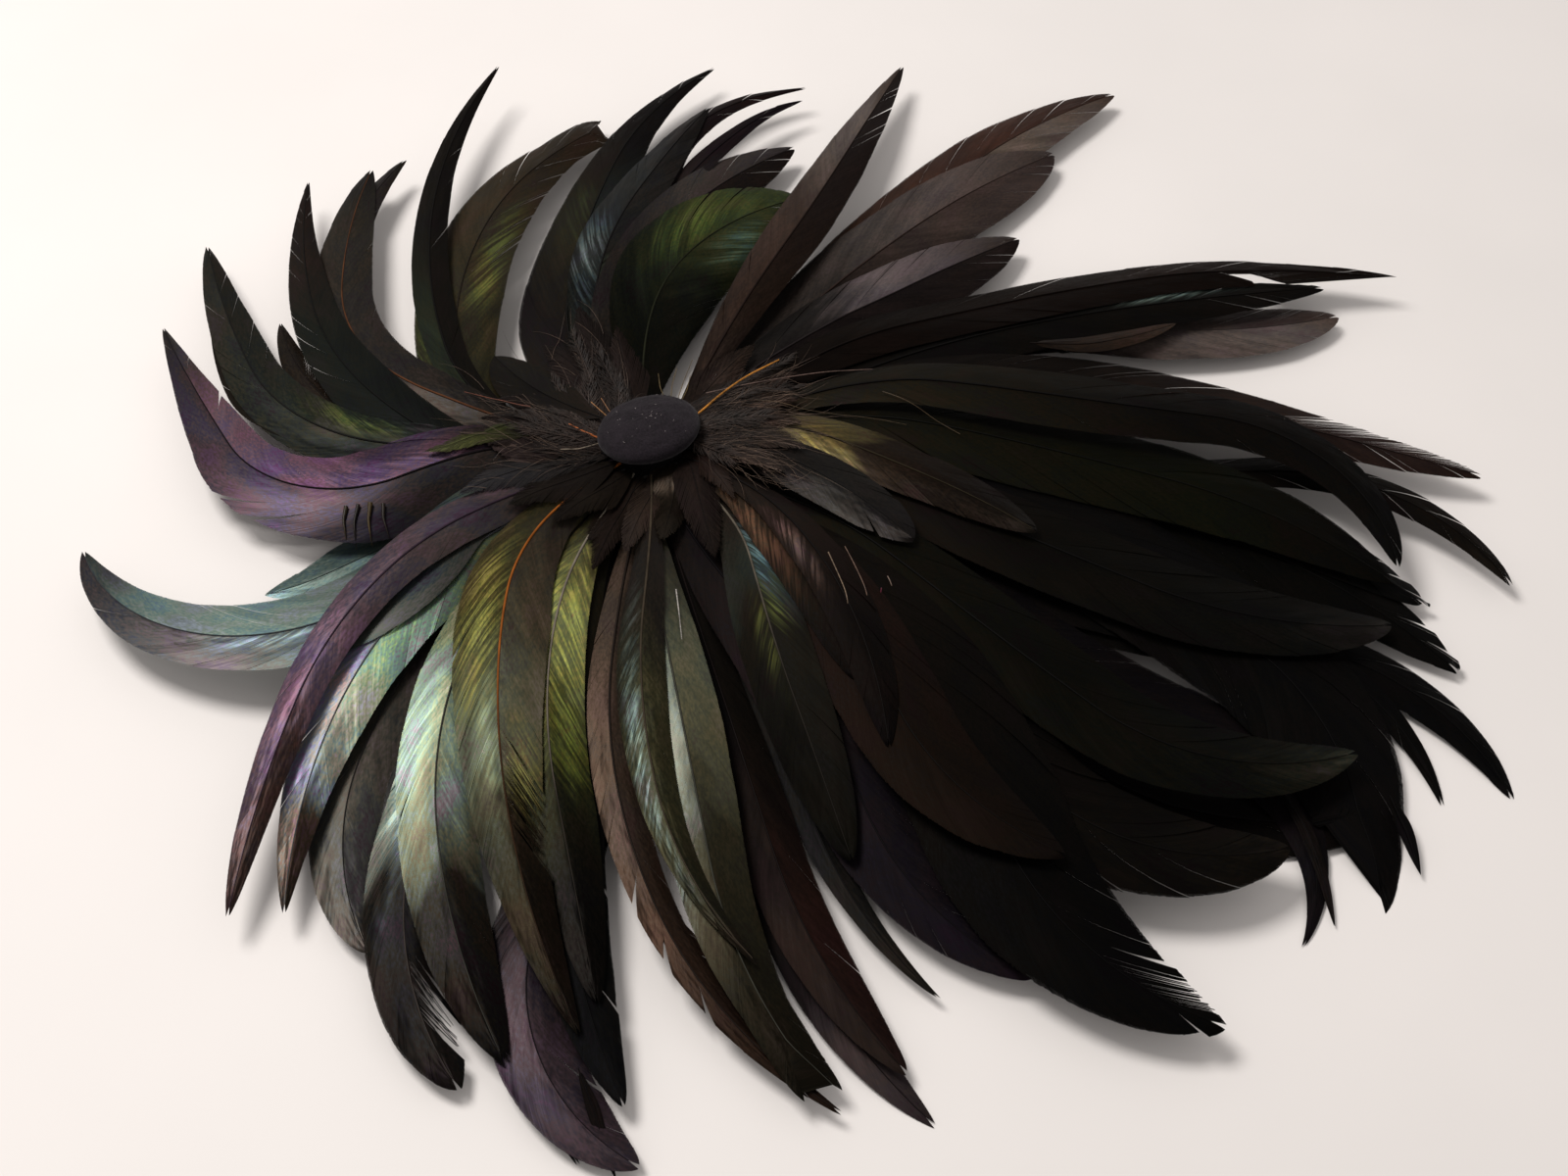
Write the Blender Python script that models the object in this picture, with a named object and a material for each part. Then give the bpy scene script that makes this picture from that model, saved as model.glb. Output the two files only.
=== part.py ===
"""A hat feather plume: a rosette of dark, glossy rooster tail feathers round a cloth-covered button.

The quills start in a small ring on a round backing pad and the feathers fan out over the table in every direction.
Short ones curl clockwise at the upper left, and the longest lie in a thick bunch at the right and lower right.
Lengths are in millimetres here and in metres in the model. Seen from above, +X is right, +Y is away and +Z is up.
Headings are in degrees, counted anticlockwise from +X.
"""

import math
from collections import namedtuple

import bmesh
import bpy
import numpy as np

MM = 0.001

# The button on top: a domed disc covered with wool cloth, leaning a little to the left and away.
BUTTON_DIAMETER = 25.0
BUTTON_LEAN = 13.0
BUTTON_LEAN_HEADING = 130.0
BUTTON_PROFILE = ((9.6, 0.0), (11.6, 0.6), (12.5, 1.9), (12.4, 3.2), (11.5, 4.4), (9.0, 5.5), (5.0, 6.3), (0.0, 6.6))
BUTTON_SIDES = 36

# The round backing pad under the quills. Its flat underside is what the plume rests on.
PAD_DIAMETER = 46.0
PAD_THICKNESS = 1.6
PAD_SIDES = 40

# A feather's blade: thickness along the shaft at the quill and at the tip, and how far the vanes fall to each side.
SHAFT_THICKNESS = 1.0
TIP_THICKNESS = 0.45
CAMBER = 0.12
QUILL_WIDTH = 1.5
STATIONS = (0.0, 0.05, 0.12, 0.2, 0.29, 0.38, 0.47, 0.56, 0.65, 0.74, 0.82, 0.89, 0.94, 0.975, 1.0)

# How the feathers lie: the gap between one and the next, how stiff a shaft is, and how freely a blade leans sideways.
GAP = 0.35
SHAFT_STIFFNESS = 7000.0
REST_PULL = 1.0
LEAN_PULL = 6.0
LEAN_STIFFNESS = 5000.0
CREST_AT = 0.35

# The table is looked at in square cells of this size while the feathers are laid one on another.
CELL = 1.0
HALF_FIELD = 230

COLOURS = {
    "black": (0.012, 0.012, 0.013),
    "green_black": (0.013, 0.020, 0.014),
    "teal": (0.050, 0.085, 0.078),
    "purple": (0.070, 0.052, 0.072),
    "violet_black": (0.030, 0.024, 0.034),
    "olive": (0.050, 0.047, 0.026),
    "gold": (0.120, 0.105, 0.045),
    "brown": (0.060, 0.042, 0.030),
    "warm_brown": (0.105, 0.062, 0.040),
    "grey": (0.095, 0.085, 0.080),
    "copper": (0.110, 0.060, 0.050),
    "navy_felt": (0.032, 0.034, 0.046),
    "pad_felt": (0.020, 0.019, 0.020),
}

Feather = namedtuple("Feather", "name ring heading bends length width peak end blunt rise colour fork")


def feather(name, heading, bends, length, width, rise, colour, peak=0.5, end=1.0, blunt=3.0, fork=None):
    """One feather, its quill pointing straight out of the ring. heading: the way the quill points. bends: degrees
    turned over each third of the length. peak: where along it the blade is widest. end: the share of that width kept
    up to the tip. blunt: low for a long point, high for a round end. rise: height of the shaft at its crest and at
    its tip. fork: (notch, short, side) for an end split in two, the shorter on the left (1) or on the right (-1)."""
    return Feather("feather_" + name, 0.0, heading, bends, length, width, peak, end, blunt, rise, colour, fork)


# The layers in the order they are laid, the lowest first. Each has the radius of the ring its quills start from.
LAYERS = (
    (7.0, (
        feather("right_8", 1, (-50, 50, -76), 217, 16, (9, 0), "black", end=0.9),
        feather("lower_right_1", -10, (-30, 35, -80), 203, 17, (8, 0), "black", peak=0.45, end=0.45),
        feather("lower_right_3", -27, (-20, 30, -105), 203, 30, (8, 0), "violet_black", peak=0.45, end=0.2),
        feather("lower_left_1", -112, (15, 5, 35), 180, 8, (8, 0), "black", blunt=1.8),
        feather("bottom_1", -68, (-15, 10, 30), 179, 11, (8, 0), "brown", peak=0.75, blunt=2.0),
        feather("lower_left_5", -135, (10, 20, 45), 150, 15, (9, 4), "grey", peak=0.65, blunt=4.0),
        feather("upper_left_6", 195, (-95, -25, -35), 168, 22, (12, 6), "olive", end=0.8, fork=(7, 3, -1)),
        feather("upper_right_1", 50, (5, -5, -20), 184, 22, (9, 5), "warm_brown", blunt=2.8),
        feather("right_2", 29, (0, -35, 25), 179, 19, (8, 4), "grey", blunt=6.0),
    )),
    (7.5, (
        feather("right_7", 9.5, (-30, 0, -30), 193, 22, (11, 3), "black", blunt=3.2),
        feather("right_6", 8, (-20, -5, -25), 182, 23, (10, 4), "black", blunt=3.4),
        feather("lower_right_2", 0, (-30, -10, -70), 212, 33, (10, 2), "black", peak=0.6, end=0.9, fork=(20, 17, -1)),
        feather("top_4", 135, (-50, -10, -30), 158, 25, (12, 8), "black", peak=0.25, end=0.4, blunt=2.6),
        feather("lower_right_10", -69, (0, -5, 30), 154, 10, (8, 3), "black", end=0.6, blunt=2.2),
        feather("lower_left_2", -107, (20, -20, 80), 186, 18, (9, 3), "purple", peak=0.75, end=0.8, blunt=3.6),
        feather("bottom_2", -79, (5, 0, 25), 167, 13, (10, 4), "brown", peak=0.7, blunt=2.4),
        feather("upper_left_7", -177, (-75, -20, -20), 175, 10, (14, 13), "teal", peak=0.4, blunt=1.5),
        feather("upper_left_3", -150, (-80, -30, -40), 168, 11, (10, 8), "brown", blunt=2.4),
        feather("top_3", 126, (-50, -5, -60), 159, 13, (13, 8), "violet_black", end=0.55, blunt=2.0),
        feather("upper_right_2", 51, (0, -5, -10), 149, 23, (10, 5), "grey", blunt=4.5),
        feather("right_3", 24, (0, -10, -5), 174, 17, (12, 8), "black", blunt=2.4),
    )),
    (8.0, (
        feather("right_5", 12, (-30, 25, -75), 207, 11, (11, 5), "black", blunt=3.6),
        feather("right_4", 22, (-15, -25, -2), 198, 18, (10, 7), "brown", end=0.85, blunt=3.4),
        feather("lower_left_6", -128, (20, 10, 45), 172, 17, (11, 4), "teal", peak=0.7, end=0.95, blunt=4.0),
        feather("upper_left_4", 176, (-25, -55, -15), 148, 16, (12, 9), "violet_black", blunt=2.6),
        feather("upper_left_2", -170, (-15, -40, -30), 111, 11, (11, 8), "green_black", blunt=2.0),
        feather("top_5", 123, (-35, -20, -5), 129, 17, (15, 9), "teal", end=0.7, blunt=2.4),
        feather("upper_right_3", 50, (-15, 5, -5), 115, 21, (11, 6), "grey", blunt=3.4),
        feather("right_1", 38, (-15, -10, -30), 197, 18, (10, 9), "brown", end=0.7, blunt=2.2, fork=(38, 28, -1)),
        feather("lower_left_3", -113, (20, 10, 18), 168, 19, (12, 5), "black", peak=0.6, end=0.7, blunt=2.8),
        feather("lower_left_9", -141, (10, 25, 20), 146, 19, (14, 7), "teal", peak=0.45, end=0.5, blunt=3.0),
        feather("lower_right_7", -47, (-5, 0, 70), 181, 26, (14, 11), "black", blunt=4.0),
        feather("lower_right_9", -72, (15, -15, 45), 160, 22, (12, 5), "purple", end=0.8),
        feather("bottom_3", -97, (5, 25, 35), 181, 10, (12, 4), "brown", peak=0.45, end=0.8, blunt=2.2),
    )),
    (8.5, (
        feather("upper_left_5", 202, (-60, -35, -15), 159, 16, (14, 9), "green_black", peak=0.45, end=0.35),
        feather("upper_left_1", -168, (-20, -55, -10), 155, 15, (12, 8), "grey", end=0.75, blunt=2.8),
        feather("top_2", 119, (-45, -15, -20), 124, 17, (13, 6), "grey", blunt=3.4),
        feather("top_1", 100, (-20, -25, -25), 102, 25, (12, 5), "olive", blunt=3.4),
        feather("upper_right_4", 64, (0, 5, 0), 156, 16, (15, 8), "warm_brown", end=0.75, blunt=2.2),
        feather("right_9", 14, (-30, 0, -25), 173, 25, (16, 8), "green_black", blunt=2.6),
        feather("lower_right_5", -10, (-20, 5, 35), 172, 23, (16, 8), "green_black", blunt=3.4),
        feather("lower_right_6", -27, (-20, 5, 65), 180, 22, (16, 10), "green_black", blunt=3.4),
        feather("lower_right_8", -44, (-10, -20, 55), 191, 32, (16, 8), "black", peak=0.55, blunt=2.4),
        feather("lower_left_7", -131, (20, 30, 20), 168, 17, (13, 6), "teal", peak=0.6, end=0.85, blunt=3.8),
        feather("lower_left_4", -117, (20, 20, 0), 147, 16, (14, 8), "gold", blunt=2.4),
        feather("bottom_4", -89, (10, 0, 30), 169, 17, (16, 6), "olive", end=0.8, blunt=2.6, fork=(14, 3, -1)),
    )),
    (9.5, (
        feather("left_1", -174, (20, -85, -5), 151, 25, (12, 8), "purple", peak=0.4, end=0.35, blunt=2.6),
        feather("left_2", -162, (45, -65, -65), 155, 23, (14, 8), "teal", end=0.7, blunt=2.4),
        feather("left_3", -149, (15, 30, 10), 153, 12, (18, 8), "purple", peak=0.3, end=0.6, blunt=6.0),
        feather("right_10", 24, (-35, 5, -85), 190, 19, (20, 12), "green_black", end=0.7, blunt=3.4),
        feather("lower_right_4", -42, (-20, -5, 40), 143, 23, (18, 16), "brown"),
        feather("lower_left_8", -138, (45, 15, 15), 161, 21, (17, 8), "gold", peak=0.4, end=0.55, blunt=2.6),
        feather("bottom_5", -87, (-5, 15, 30), 141, 11, (16, 12), "teal", end=0.6, blunt=2.0),
    )),
    # short ones on top, round the button
    (10.0, (
        feather("centre_5", -48, (-30, 5, 0), 119, 15, (15, 10), "olive", blunt=2.8),
        feather("centre_4", -40, (-20, -5, -10), 82, 11, (18, 16), "copper", blunt=2.8),
        feather("centre_3", -36, (-20, -15, -15), 103, 12, (17, 14), "copper", blunt=2.6),
        feather("centre_1", 10, (-40, 0, -10), 90, 14, (18, 18), "gold"),
        feather("centre_2", -10, (-25, -5, -10), 64, 14, (18, 18), "grey", blunt=3.4),
    )),
)

FEATHERS = [spec._replace(ring=ring) for ring, group in LAYERS for spec in group]


def polar(distance, heading):
    angle = math.radians(heading)
    return np.array((distance * math.cos(angle), distance * math.sin(angle)))


def smooth_step(value):
    value = min(max(value, 0.0), 1.0)
    return value * value * (3.0 - 2.0 * value)


def shaft(spec, share):
    """Plan position and heading of the shaft at a share of its length: three arcs, each tangent to the last."""
    place = polar(spec.ring, spec.heading)
    heading = spec.heading
    third = spec.length / 3.0
    left = share * spec.length
    for bend in spec.bends:
        run = min(left, third)
        if run <= 0.0:
            break
        turned = bend * run / third
        half = math.radians(turned / 2.0)
        chord = run * (math.sin(half) / half if abs(half) > 1e-6 else 1.0)
        place = place + polar(chord, heading + turned / 2.0)
        heading += turned
        left -= run
    return place, heading


def half_width(spec, share):
    """Half the width of the blade: a bare quill, vanes that widen to the peak, and an end that closes to a point."""
    widest = spec.width / 2.0
    quill = QUILL_WIDTH / 2.0
    if share < spec.peak:
        return quill + (widest - quill) * smooth_step(share / spec.peak) ** 0.6
    closing = (share - spec.peak) / (1.0 - spec.peak)
    kept = 1.0 - (1.0 - spec.end) * closing
    return max(widest * kept * max(1.0 - closing ** spec.blunt, 0.0) ** 0.7, 0.3)


def free_height(spec, share):
    """Height the shaft would take with nothing under it."""
    start = PAD_THICKNESS + 0.8
    crest, tip = spec.rise
    if share < CREST_AT:
        return start + (crest - start) * math.sin(math.pi / 2.0 * share / CREST_AT)
    return crest + (tip - crest) * ((share - CREST_AT) / (1.0 - CREST_AT)) ** 1.6


class Blade:
    """A feather's thin solid. Its plan is fixed. Its heights follow from one height and one lean per station."""

    def __init__(self, spec, widen):
        self.spec = spec
        end = 1.0 if spec.fork is None else 1.0 - spec.fork[0] / spec.length
        self.shares = [share * end for share in STATIONS] + ([] if spec.fork is None else [1.0])
        self.count = len(self.shares)
        self.points = []
        self.rows = []
        self.offsets = []
        self.top = []
        self.under = []
        for index, share in enumerate(self.shares[:len(STATIONS)]):
            self.section(index, share, widen)
        for index in range(len(STATIONS) - 1):
            a, b = 4 * index, 4 * index + 4
            self.top += [(a, a + 1, b + 1), (a, b + 1, b), (a + 1, a + 2, b + 2), (a + 1, b + 2, b + 1)]
            self.under += [(a, b, b + 3), (a, b + 3, a + 3), (a + 3, b + 3, b + 2), (a + 3, b + 2, a + 2)]
        last = 4 * len(STATIONS) - 4
        if spec.fork is None:
            self.ends = [(0, 3, 2, 1), (last, last + 1, last + 2, last + 3)]
        else:
            self.ends = [(0, 3, 2, 1)]
            self.forked_end(last, widen)

    def vertex(self, place, heading, side, offset, weights):
        """A point beside the shaft. Its height is a weighted sum of station heights and leans."""
        row = np.zeros(2 * self.count)
        for station, weight in weights:
            row[station] += weight
            row[self.count + station] += weight * side
        self.points.append(place + polar(side, heading + 90.0))
        self.rows.append(row)
        self.offsets.append(offset)

    def section(self, index, share, widen):
        place, heading = shaft(self.spec, share)
        reach = half_width(self.spec, share)
        if self.spec.fork is not None and share > self.spec.peak:
            reach = max(reach, self.spec.width * 0.28)
        thick = SHAFT_THICKNESS + (TIP_THICKNESS - SHAFT_THICKNESS) * share
        drop = CAMBER * reach * (1.0 + widen / reach)
        weights = ((index, 1.0),)
        self.vertex(place, heading, reach + widen, -drop, weights)
        self.vertex(place, heading, 0.0, 0.55 * thick, weights)
        self.vertex(place, heading, -reach - widen, -drop, weights)
        self.vertex(place, heading, 0.0, -0.45 * thick, weights)

    def forked_end(self, last, widen):
        """The end split into two points, the second shorter, with a notch between them."""
        notch, short, side = self.spec.fork
        before, after = self.count - 2, self.count - 1
        reach = max(half_width(self.spec, self.shares[before]), self.spec.width * 0.28)
        points = {}
        for name, back, spot in (("long", 0.0, -0.6 * side), ("short", short, 0.8 * side)):
            part = 1.0 - back / notch
            place = shaft(self.spec, 1.0 - back / self.spec.length)
            points[name] = len(self.points)
            outward = spot * reach + math.copysign(widen, spot)
            self.vertex(*place, outward, -CAMBER * abs(spot) * reach, ((before, 1.0 - part), (after, part)))
        valley = shaft(self.spec, self.shares[before] + 0.25 * notch / self.spec.length)
        self.vertex(*valley, 0.2 * side * reach, 0.0, ((before, 0.75), (after, 0.25)))
        left, ridge, right, keel, hollow = last, last + 1, last + 2, last + 3, last + 6
        one, other = (points["short"], points["long"]) if side > 0 else (points["long"], points["short"])
        self.top += [(left, ridge, one), (ridge, hollow, one), (ridge, other, hollow), (ridge, right, other)]
        self.under += [(keel, left, one), (keel, one, hollow), (keel, hollow, other), (keel, other, right)]

    def cells(self, faces):
        """Cells under the faces: their places in the field, and each one's height as a row and an offset."""
        points = np.array(self.points) / CELL + HALF_FIELD
        rows = np.array(self.rows)
        offsets = np.array(self.offsets)
        at, out, add = [], [], []
        for face in faces:
            corner = points[list(face)]
            low = np.floor(corner.min(axis=0)).astype(int)
            high = np.ceil(corner.max(axis=0)).astype(int) + 1
            first, second = corner[1] - corner[0], corner[2] - corner[0]
            area = first[0] * second[1] - first[1] * second[0]
            if abs(area) < 1e-9:
                continue
            grid = np.stack(np.meshgrid(np.arange(low[0], high[0]), np.arange(low[1], high[1]), indexing="ij"), -1)
            grid = grid.reshape(-1, 2)
            away = grid - corner[0]
            b = (away[:, 0] * second[1] - away[:, 1] * second[0]) / area
            c = (first[0] * away[:, 1] - first[1] * away[:, 0]) / area
            inside = (b >= -0.02) & (c >= -0.02) & (b + c <= 1.02)
            if not inside.any():
                continue
            shares = np.stack((1.0 - b[inside] - c[inside], b[inside], c[inside]), 1)
            at.append(grid[inside])
            out.append(shares @ rows[list(face)])
            add.append(shares @ offsets[list(face)])
        return np.concatenate(at), np.concatenate(out), np.concatenate(add)


def rest_energy(blade):
    """Matrix and vector of the shaft's wish to lie straight, near its free height, without leaning."""
    spec, count = blade.spec, blade.count
    along = np.array(blade.shares) * spec.length
    gaps = np.diff(along)
    spans = np.zeros(count)
    spans[:-1] += gaps / 2.0
    spans[1:] += gaps / 2.0
    matrix = np.zeros((2 * count, 2 * count))
    vector = np.zeros(2 * count)
    for j in range(1, count - 1):
        row = np.zeros(2 * count)
        middle = (gaps[j - 1] + gaps[j]) / 2.0
        row[j - 1] = 1.0 / gaps[j - 1] / middle
        row[j + 1] = 1.0 / gaps[j] / middle
        row[j] = -row[j - 1] - row[j + 1]
        matrix += SHAFT_STIFFNESS * middle * np.outer(row, row)
    for j in range(count):
        matrix[j, j] += REST_PULL * spans[j]
        vector[j] += REST_PULL * spans[j] * free_height(spec, blade.shares[j])
        matrix[count + j, count + j] += LEAN_PULL * spans[j]
    for j in range(count - 1):
        row = np.zeros(2 * count)
        row[count + j], row[count + j + 1] = -1.0 / gaps[j], 1.0 / gaps[j]
        matrix += LEAN_STIFFNESS * gaps[j] * np.outer(row, row)
    return matrix, vector


def lay(spec, field):
    """Lay one feather on what is already there and raise the field. Returns its station heights and leans."""
    wide = Blade(spec, 0.9)
    at, rows, offsets = wide.cells(wide.under)
    below = field[at[:, 0], at[:, 1]]
    needed = np.where(below > 0.0, below + GAP, 0.0) - offsets
    matrix, vector = rest_energy(wide)
    press = 400.0
    state = np.linalg.solve(matrix, vector)
    for _ in range(60):
        short = needed - rows @ state > 0.0
        active = rows[short]
        following = np.linalg.solve(matrix + press * active.T @ active, vector + press * active.T @ needed[short])
        if np.abs(following - state).max() < 1e-4:
            state = following
            break
        state = 0.4 * state + 0.6 * following
    state[:wide.count] += max(float((needed - rows @ state).max()), 0.0)
    at, rows, offsets = wide.cells(wide.top)
    height = rows @ state + offsets
    np.maximum.at(field, (at[:, 0], at[:, 1]), height)
    return state


def material(name, colour, roughness, metallic):
    made = bpy.data.materials.new(name)
    made.use_nodes = True
    shader = made.node_tree.nodes["Principled BSDF"]
    shader.inputs["Base Color"].default_value = (*COLOURS[colour], 1.0)
    shader.inputs["Roughness"].default_value = roughness
    shader.inputs["Metallic"].default_value = metallic
    made.diffuse_color = (*COLOURS[colour], 1.0)
    return made


def add_object(name, points, faces, made, creases):
    """A closed solid from points in millimetres. creases: pairs of points whose edge stays sharp."""
    mesh = bpy.data.meshes.new(name)
    mesh.from_pydata([tuple(float(value) * MM for value in point) for point in points], [], faces)
    mesh.materials.append(made)
    built = bmesh.new()
    built.from_mesh(mesh)
    bmesh.ops.recalc_face_normals(built, faces=built.faces)
    built.to_mesh(mesh)
    built.free()
    for face in mesh.polygons:
        face.use_smooth = True
    sharp = {frozenset(pair) for pair in creases}
    for edge in mesh.edges:
        edge.use_edge_sharp = frozenset(edge.vertices) in sharp
    made_object = bpy.data.objects.new(name, mesh)
    bpy.context.scene.collection.objects.link(made_object)
    return made_object


def add_feather(spec, field):
    state = lay(spec, field)
    blade = Blade(spec, 0.0)
    heights = np.array(blade.rows) @ state + np.array(blade.offsets)
    points = [(place[0], place[1], height) for place, height in zip(blade.points, heights)]
    creases = []
    for index in range(len(STATIONS) - 1):
        a = 4 * index
        creases += [(a + corner, a + corner + 4) for corner in range(4)]
    made = material(spec.name, spec.colour, 0.38, 0.25)
    return add_object(spec.name, points, blade.top + blade.under + blade.ends, made, creases)


def turned_solid(name, profile, sides, made, place):
    """A solid turned from a profile of (radius, height), closed flat below; place moves a point to where it goes."""
    points = [(0.0, 0.0, profile[0][1])]
    rings = []
    for radius, height in profile:
        if radius == 0.0:
            rings.append([len(points)])
            points.append((0.0, 0.0, height))
            continue
        rings.append(list(range(len(points), len(points) + sides)))
        for step in range(sides):
            spot = polar(radius, 360.0 * step / sides)
            points.append((spot[0], spot[1], height))
    faces = [(0, rings[0][(step + 1) % sides], rings[0][step]) for step in range(sides)]
    for low, high in zip(rings, rings[1:]):
        for step in range(sides):
            after = (step + 1) % sides
            if len(high) == 1:
                faces.append((low[step], low[after], high[0]))
            else:
                faces.append((low[step], low[after], high[after], high[step]))
    creases = [(rings[0][step], rings[0][(step + 1) % sides]) for step in range(sides)]
    return add_object(name, [place(point) for point in points], faces, made, creases)


def add_pad():
    radius = PAD_DIAMETER / 2.0
    profile = ((radius, 0.0), (radius, PAD_THICKNESS - 0.4), (radius - 0.4, PAD_THICKNESS), (0.0, PAD_THICKNESS))
    made = material("backing_pad", "pad_felt", 0.95, 0.0)
    return turned_solid("backing_pad", profile, PAD_SIDES, made, lambda point: point)


def add_button(field):
    """The button leans, and sits just clear of the highest quill under it."""
    lean = math.radians(BUTTON_LEAN)
    toward = polar(1.0, BUTTON_LEAN_HEADING)
    up = np.array((toward[0] * math.sin(lean), toward[1] * math.sin(lean), math.cos(lean)))
    ahead = np.array((toward[0] * math.cos(lean), toward[1] * math.cos(lean), -math.sin(lean)))
    across = np.cross(up, ahead)
    reach = int(BUTTON_DIAMETER / 2.0 / CELL) + 1
    base = 0.0
    for x in range(-reach, reach + 1):
        for y in range(-reach, reach + 1):
            if math.hypot(x, y) * CELL < BUTTON_DIAMETER / 2.0 + 0.8:
                plane = -(up[0] * x + up[1] * y) * CELL / up[2]
                base = max(base, field[x + HALF_FIELD, y + HALF_FIELD] + GAP - plane)

    def place(point):
        moved = point[0] * ahead + point[1] * across + point[2] * up
        return (moved[0], moved[1], moved[2] + base)

    made = material("button", "navy_felt", 0.95, 0.0)
    return turned_solid("button", BUTTON_PROFILE, BUTTON_SIDES, made, place)


def starting_field():
    """Heights of what lies on the table before the first feather: the pad, and bare table round it."""
    side = 2 * HALF_FIELD + 1
    steps = (np.arange(side) - HALF_FIELD) * CELL
    far = np.hypot(steps[:, None], steps[None, :])
    return np.where(far < PAD_DIAMETER / 2.0 + 0.8, PAD_THICKNESS, 0.0)


def clear_scene():
    for old in list(bpy.data.objects):
        bpy.data.objects.remove(old)


def main():
    clear_scene()
    field = starting_field()
    add_pad()
    for spec in FEATHERS:
        add_feather(spec, field)
    add_button(field)


main()
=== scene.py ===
"""Looks of the hat feather plume: every feather rebuilt barb by barb on its solid, the button in wool felt,
fine down, bare quills, and a plain table under a soft lamp.

Lengths are in millimetres here and in metres in the scene. +X is right, +Y is away from the camera and +Z
is up. A share says how far along a feather a place is, from 0 at the root to 1 at the tip. A side of 1 is to
the left of the shaft, seen from the root, and a side of -1 to its right.
"""

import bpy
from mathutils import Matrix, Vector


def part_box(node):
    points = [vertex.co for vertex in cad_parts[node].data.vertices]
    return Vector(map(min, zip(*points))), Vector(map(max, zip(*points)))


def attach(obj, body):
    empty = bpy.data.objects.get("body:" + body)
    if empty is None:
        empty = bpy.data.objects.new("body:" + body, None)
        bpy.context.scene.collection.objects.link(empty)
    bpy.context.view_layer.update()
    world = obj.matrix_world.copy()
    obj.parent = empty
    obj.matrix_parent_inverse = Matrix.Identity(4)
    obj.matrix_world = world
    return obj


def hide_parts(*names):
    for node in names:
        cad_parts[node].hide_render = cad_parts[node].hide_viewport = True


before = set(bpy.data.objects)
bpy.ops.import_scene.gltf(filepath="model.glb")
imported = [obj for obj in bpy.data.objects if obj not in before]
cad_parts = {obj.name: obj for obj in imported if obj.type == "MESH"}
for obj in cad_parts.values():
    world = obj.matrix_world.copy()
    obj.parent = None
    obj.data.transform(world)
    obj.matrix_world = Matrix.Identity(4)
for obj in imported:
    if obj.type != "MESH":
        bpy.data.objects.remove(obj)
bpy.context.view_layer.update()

import math

import bpy
import numpy as np
from mathutils import Vector, noise
from mathutils.bvhtree import BVHTree

MM = 0.001

# The camera stands at the photograph's place: in front of the plume, looking down at 50 degrees.
CAMERA_AT = (32.0, -359.2, 383.9)
CAMERA_TURN = (40.0, 0.0, 0.0)
CAMERA_LENS = 49.45
CAMERA_SENSOR = 36.0

# A round, soft lamp over the plume, in metres and watts, and the even, warm light of the room.
LAMP_AT = (-0.40, 0.17, 0.90)
LAMP_AIM = (-0.06, -0.12, 0.0)
LAMP_SIZE = 0.42
LAMP_POWER = 8.5
LAMP_COLOUR = (1.0, 0.96, 0.925)
ROOM_COLOUR = (1.0, 0.955, 0.93, 1.0)
ROOM_STRENGTH = 0.52

# The table top, in metres, and the two tones of its mottling as the shader takes them.
TABLE_SIDE = 6.0
TABLE_TONES = ((0.74, 0.715, 0.698, 1.0), (0.77, 0.742, 0.725, 1.0))

# Barbs leave the shaft at this pitch between these shares. They sweep towards the tip, more steeply the
# nearer they are to it, and curve on the way. Their ribbons have points at these shares of a barb, swell up
# to the last but one and then narrow. They stay together in clumps, and the vane is ruffled in long waves.
PITCH = 0.62
COVER_PITCH = 0.45
FIRST_BARB = 0.03
LAST_BARB = 0.985
SWEEP = (1.5, 2.5)
TIP_SWEEP = 5.0
BOW = 0.55
ALONG_BARB = np.array((0.0, 0.18, 0.38, 0.58, 0.78, 0.93, 1.0))
BARB_SWELL = 1.12
BARB_TIP = 0.8
CLUMP_BARBS = (5, 26)
RUFFLE = 0.12
RUFFLE_LENGTH = 31.0

# Quills where they leave the middle, and shafts, which are drawn as tubes.
QUILL_WIDTH = 1.5
SHAFT_STATIONS = 70
TUBE_SIDES = 6

# How much of a feather's width a split end keeps, and how low a sheet of barbs and a single barb may come.
FORK_WIDTH = 0.28
LOWEST_SHEET = 0.08
LOWEST_BARB = 0.06

# The flat layout of a feather: u runs along it over 1.1 lengths, and v across it, with the shaft's strips
# past the edge of the vanes.
FLAT_LENGTHS = 1.1
FLAT_LAST = 1.09
V_MIDDLE = 0.48
V_HALF = 0.45
V_REACH = 1.15
V_SHAFT = 0.965
V_STRIP = 0.006

# Sizes of a vane's noise: along the feather for streaks, clumps, the fine breaks in glints (painted
# highlights) and the waves of the surface, and along and across it for mottling and patches.
STREAK_SIZE = 0.75
CLUMP_SIZE = 7.0
BREAK_SIZE = 1.5
WAVE_SIZE = 13.0
MOTTLE_SIZE = (1.1, 0.5)
PATCH_SIZE = (16.0, 8.0)

# How rough a vane is, from its glossy to its duller mottles, and how metallic.
VANE_ROUGH = (0.28, 0.42)
VANE_METAL = 0.55

# Where the random draws, the vane's noise and the shaft's noise start, for feathers, slips and covers, and
# where the draws of the down and the button do.
FEATHER_STARTS = (100, 0.0, 0.0)
SLIP_STARTS = (500, 700.0, 300.0)
COVER_STARTS = (700, 900.0, 400.0)
DOWN_START = 31
BUTTON_START = 7

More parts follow.
